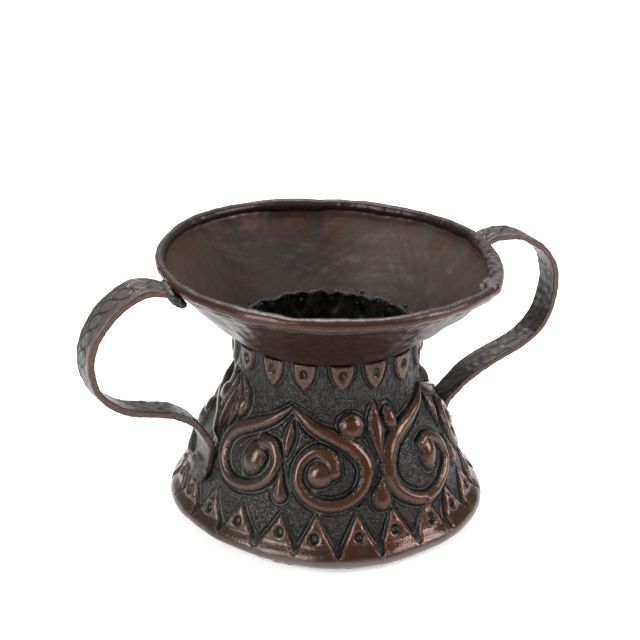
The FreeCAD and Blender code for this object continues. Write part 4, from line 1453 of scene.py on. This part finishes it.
def make_soft_light(name, place, size, power):
    """Rectangular soft light aimed at the pot."""
    data = bpy.data.lights.new(name, "AREA")
    data.shape = "RECTANGLE"
    data.size, data.size_y = size
    data.energy = power
    light = bpy.data.objects.new(name, data)
    bpy.context.collection.objects.link(light)
    place = Vector(place)
    aim = (place - CAMERA_TARGET).to_track_quat("Z", "Y").to_matrix().to_4x4()
    light.matrix_world = Matrix.Translation(place) @ aim


def make_floor():
    """Wide pale floor."""
    mesh = bpy.data.meshes.new("pale_floor")
    corners = [(x * FLOOR_REACH, y * FLOOR_REACH, 0) for x, y in ((-1, -1), (1, -1), (1, 1), (-1, 1))]
    mesh.from_pydata(corners, [], [(0, 1, 2, 3)])
    floor = bpy.data.objects.new("pale_floor", mesh)
    bpy.context.collection.objects.link(floor)
    material = new_metal(
        "pale_floor", Roughness=0.75, Base_Color=colours().floor, Emission_Color=WHITE, Emission_Strength=0.35
    )[0]
    mesh.materials.append(material)


def make_stage():
    """Floor, lights, surroundings and camera."""
    scene = bpy.context.scene
    scene.view_settings.view_transform = "Standard"
    world = bpy.data.worlds.new("pale_room")
    world.use_nodes = True
    background = world.node_tree.nodes["Background"]
    background.inputs["Color"].default_value = WHITE
    background.inputs["Strength"].default_value = ROOM_STRENGTH
    scene.world = world
    make_floor()
    for light in SOFT_LIGHTS:
        make_soft_light(*light)
    make_camera()


# ---------------------------------------------------------------- settings, operators, panel


def length_setting(name, text, default, low, high):
    """A length that a user may change."""
    return bpy.props.FloatProperty(
        name=name, description=text, default=default, min=low, max=high, unit="LENGTH", precision=5
    )


def colour_setting(name, text, default):
    """A colour that a user may change."""
    return bpy.props.FloatVectorProperty(
        name=name, description=text, default=default + (1.0,), size=4, min=0.0, max=1.0, subtype="COLOR"
    )


class PotSizes(bpy.types.PropertyGroup):
    """Sizes of the hand work."""

    relief: length_setting("Relief", "Height of the raised work", 0.0021, 0.0005, 0.003)
    hammer: length_setting("Hammer marks", "Depth of the planishing marks", 0.00012, 0.0, 0.0005)
    fineness: length_setting("Fineness", "Spacing of the body's points", 0.00045, 0.0003, 0.002)
    mouth_lean: bpy.props.FloatProperty(
        name="Mouth lean", description="Slope of the mouth across its width",
        default=0.016, min=-0.05, max=0.05,
    )


class PotColours(bpy.types.PropertyGroup):
    """Colours of the metal and the floor."""

    ground: colour_setting("Ground", "Patina between the raised work", (0.0076, 0.0068, 0.0067))
    grime: colour_setting("Grime", "What fills the chased lines", (0.0025, 0.0025, 0.0027))
    worn_copper: colour_setting("Worn copper", "Raised work", (0.04, 0.0112, 0.0036))
    # Also the colour of the painted glints on the body and in the mouth.
    rubbed_edge_and_glint: colour_setting("Rubbed edge", "Edges rubbed bright", (0.26, 0.13, 0.085))
    mouth_outside: colour_setting("Mouth outside", "Patina outside the mouth", (0.0165, 0.0088, 0.0075))
    mouth_inside: colour_setting("Mouth inside", "Patina inside the mouth", (0.0088, 0.0056, 0.0044))
    # Painted light: the lighter colour of the inside's lit left and right sides.
    lit_mouth_sides: colour_setting("Mouth sides", "Patina inside the mouth's sides", (0.05, 0.04, 0.034))
    rim_copper: colour_setting("Rim copper", "Face of the rolled rim", (0.034, 0.0105, 0.0062))
    strap_face: colour_setting("Strap face", "Broad faces of the handles", (0.058, 0.05, 0.047))
    strap_edge: colour_setting("Strap edge", "Edges of the handles", (0.0225, 0.0102, 0.0076))
    braze: colour_setting("Braze", "Metal that holds the handles", (0.012, 0.0115, 0.0095))
    solder: colour_setting("Solder", "Solder in the throat", (0.11, 0.115, 0.085))
    green_bloom: colour_setting("Green bloom", "Green deposit", (0.07, 0.069, 0.055))
    floor: colour_setting("Floor", "Floor under the pot", (0.92, 0.92, 0.92))


class PieceOperator:
    """What the operators share."""

    bl_options = {"REGISTER", "UNDO"}


class POT_OT_body(PieceOperator, bpy.types.Operator):
    """Build the embossed foot, belly and neck"""

    bl_idname = "pot.body"
    bl_label = "Embossed body"

    def execute(self, context):
        make_body_shell()
        return {"FINISHED"}


class POT_OT_mouth(PieceOperator, bpy.types.Operator):
    """Build the conical mouth, the wire in its rim and the rim's join"""

    bl_idname = "pot.mouth"
    bl_label = "Mouth and rim"

    def execute(self, context):
        make_mouth()
        make_rim_wire()
        make_rim_patch()
        return {"FINISHED"}


class POT_OT_handles(PieceOperator, bpy.types.Operator):
    """Build the two strap handles"""

    bl_idname = "pot.handles"
    bl_label = "Strap handles"

    def execute(self, context):
        for handle in HANDLES:
            make_handle(*handle)
        return {"FINISHED"}


class POT_OT_brazes(PieceOperator, bpy.types.Operator):
    """Build the four lumps of braze that hold the handles"""

    bl_idname = "pot.brazes"
    bl_label = "Brazes"

    def execute(self, context):
        for count, (name, side) in enumerate((("left", -1), ("right", 1))):
            make_braze(name, side, "upper", 141 + count * 20)
            make_braze(name, side, "lower", 151 + count * 20)
        return {"FINISHED"}


class POT_OT_solder(PieceOperator, bpy.types.Operator):
    """Build the solder in the throat and round the floor"""

    bl_idname = "pot.solder"
    bl_label = "Solder"

    def execute(self, context):
        make_neck_solder()
        make_floor_solder()
        return {"FINISHED"}


class POT_OT_floor(PieceOperator, bpy.types.Operator):
    """Build the hammered floor of the pot"""

    bl_idname = "pot.floor"
    bl_label = "Floor"

    def execute(self, context):
        make_floor_disc()
        return {"FINISHED"}


class POT_OT_stage(PieceOperator, bpy.types.Operator):
    """Set out the floor, the lights and the camera"""

    bl_idname = "pot.stage"
    bl_label = "Stage"

    def execute(self, context):
        make_stage()
        return {"FINISHED"}


OPERATORS = (
    POT_OT_body,
    POT_OT_mouth,
    POT_OT_handles,
    POT_OT_brazes,
    POT_OT_solder,
    POT_OT_floor,
    POT_OT_stage,
)


class POT_PT_panel(bpy.types.Panel):
    """Sidebar panel of the pot"""

    bl_idname = "POT_PT_panel"
    bl_label = "Copper pot"
    bl_space_type = "VIEW_3D"
    bl_region_type = "UI"
    bl_category = "Pot"

    def draw(self, context):
        for group in (context.scene.pot_sizes, context.scene.pot_colours):
            column = self.layout.column()
            for name in group.__annotations__:
                column.prop(group, name)
        for operator in OPERATORS:
            self.layout.operator(operator.bl_idname)


CLASSES = (PotSizes, PotColours) + OPERATORS + (POT_PT_panel,)


def register():
    """Register the classes and the settings."""
    for each in CLASSES:
        bpy.utils.register_class(each)
    bpy.types.Scene.pot_sizes = bpy.props.PointerProperty(type=PotSizes)
    bpy.types.Scene.pot_colours = bpy.props.PointerProperty(type=PotColours)


def unregister():
    """Remove the settings and the classes."""
    del bpy.types.Scene.pot_colours
    del bpy.types.Scene.pot_sizes
    for each in reversed(CLASSES):
        bpy.utils.unregister_class(each)


def main():
    """Build every piece in order."""
    register()
    for operator in OPERATORS:
        group, name = operator.bl_idname.split(".")
        getattr(getattr(bpy.ops, group), name)()


if __name__ == "__main__":
    main()
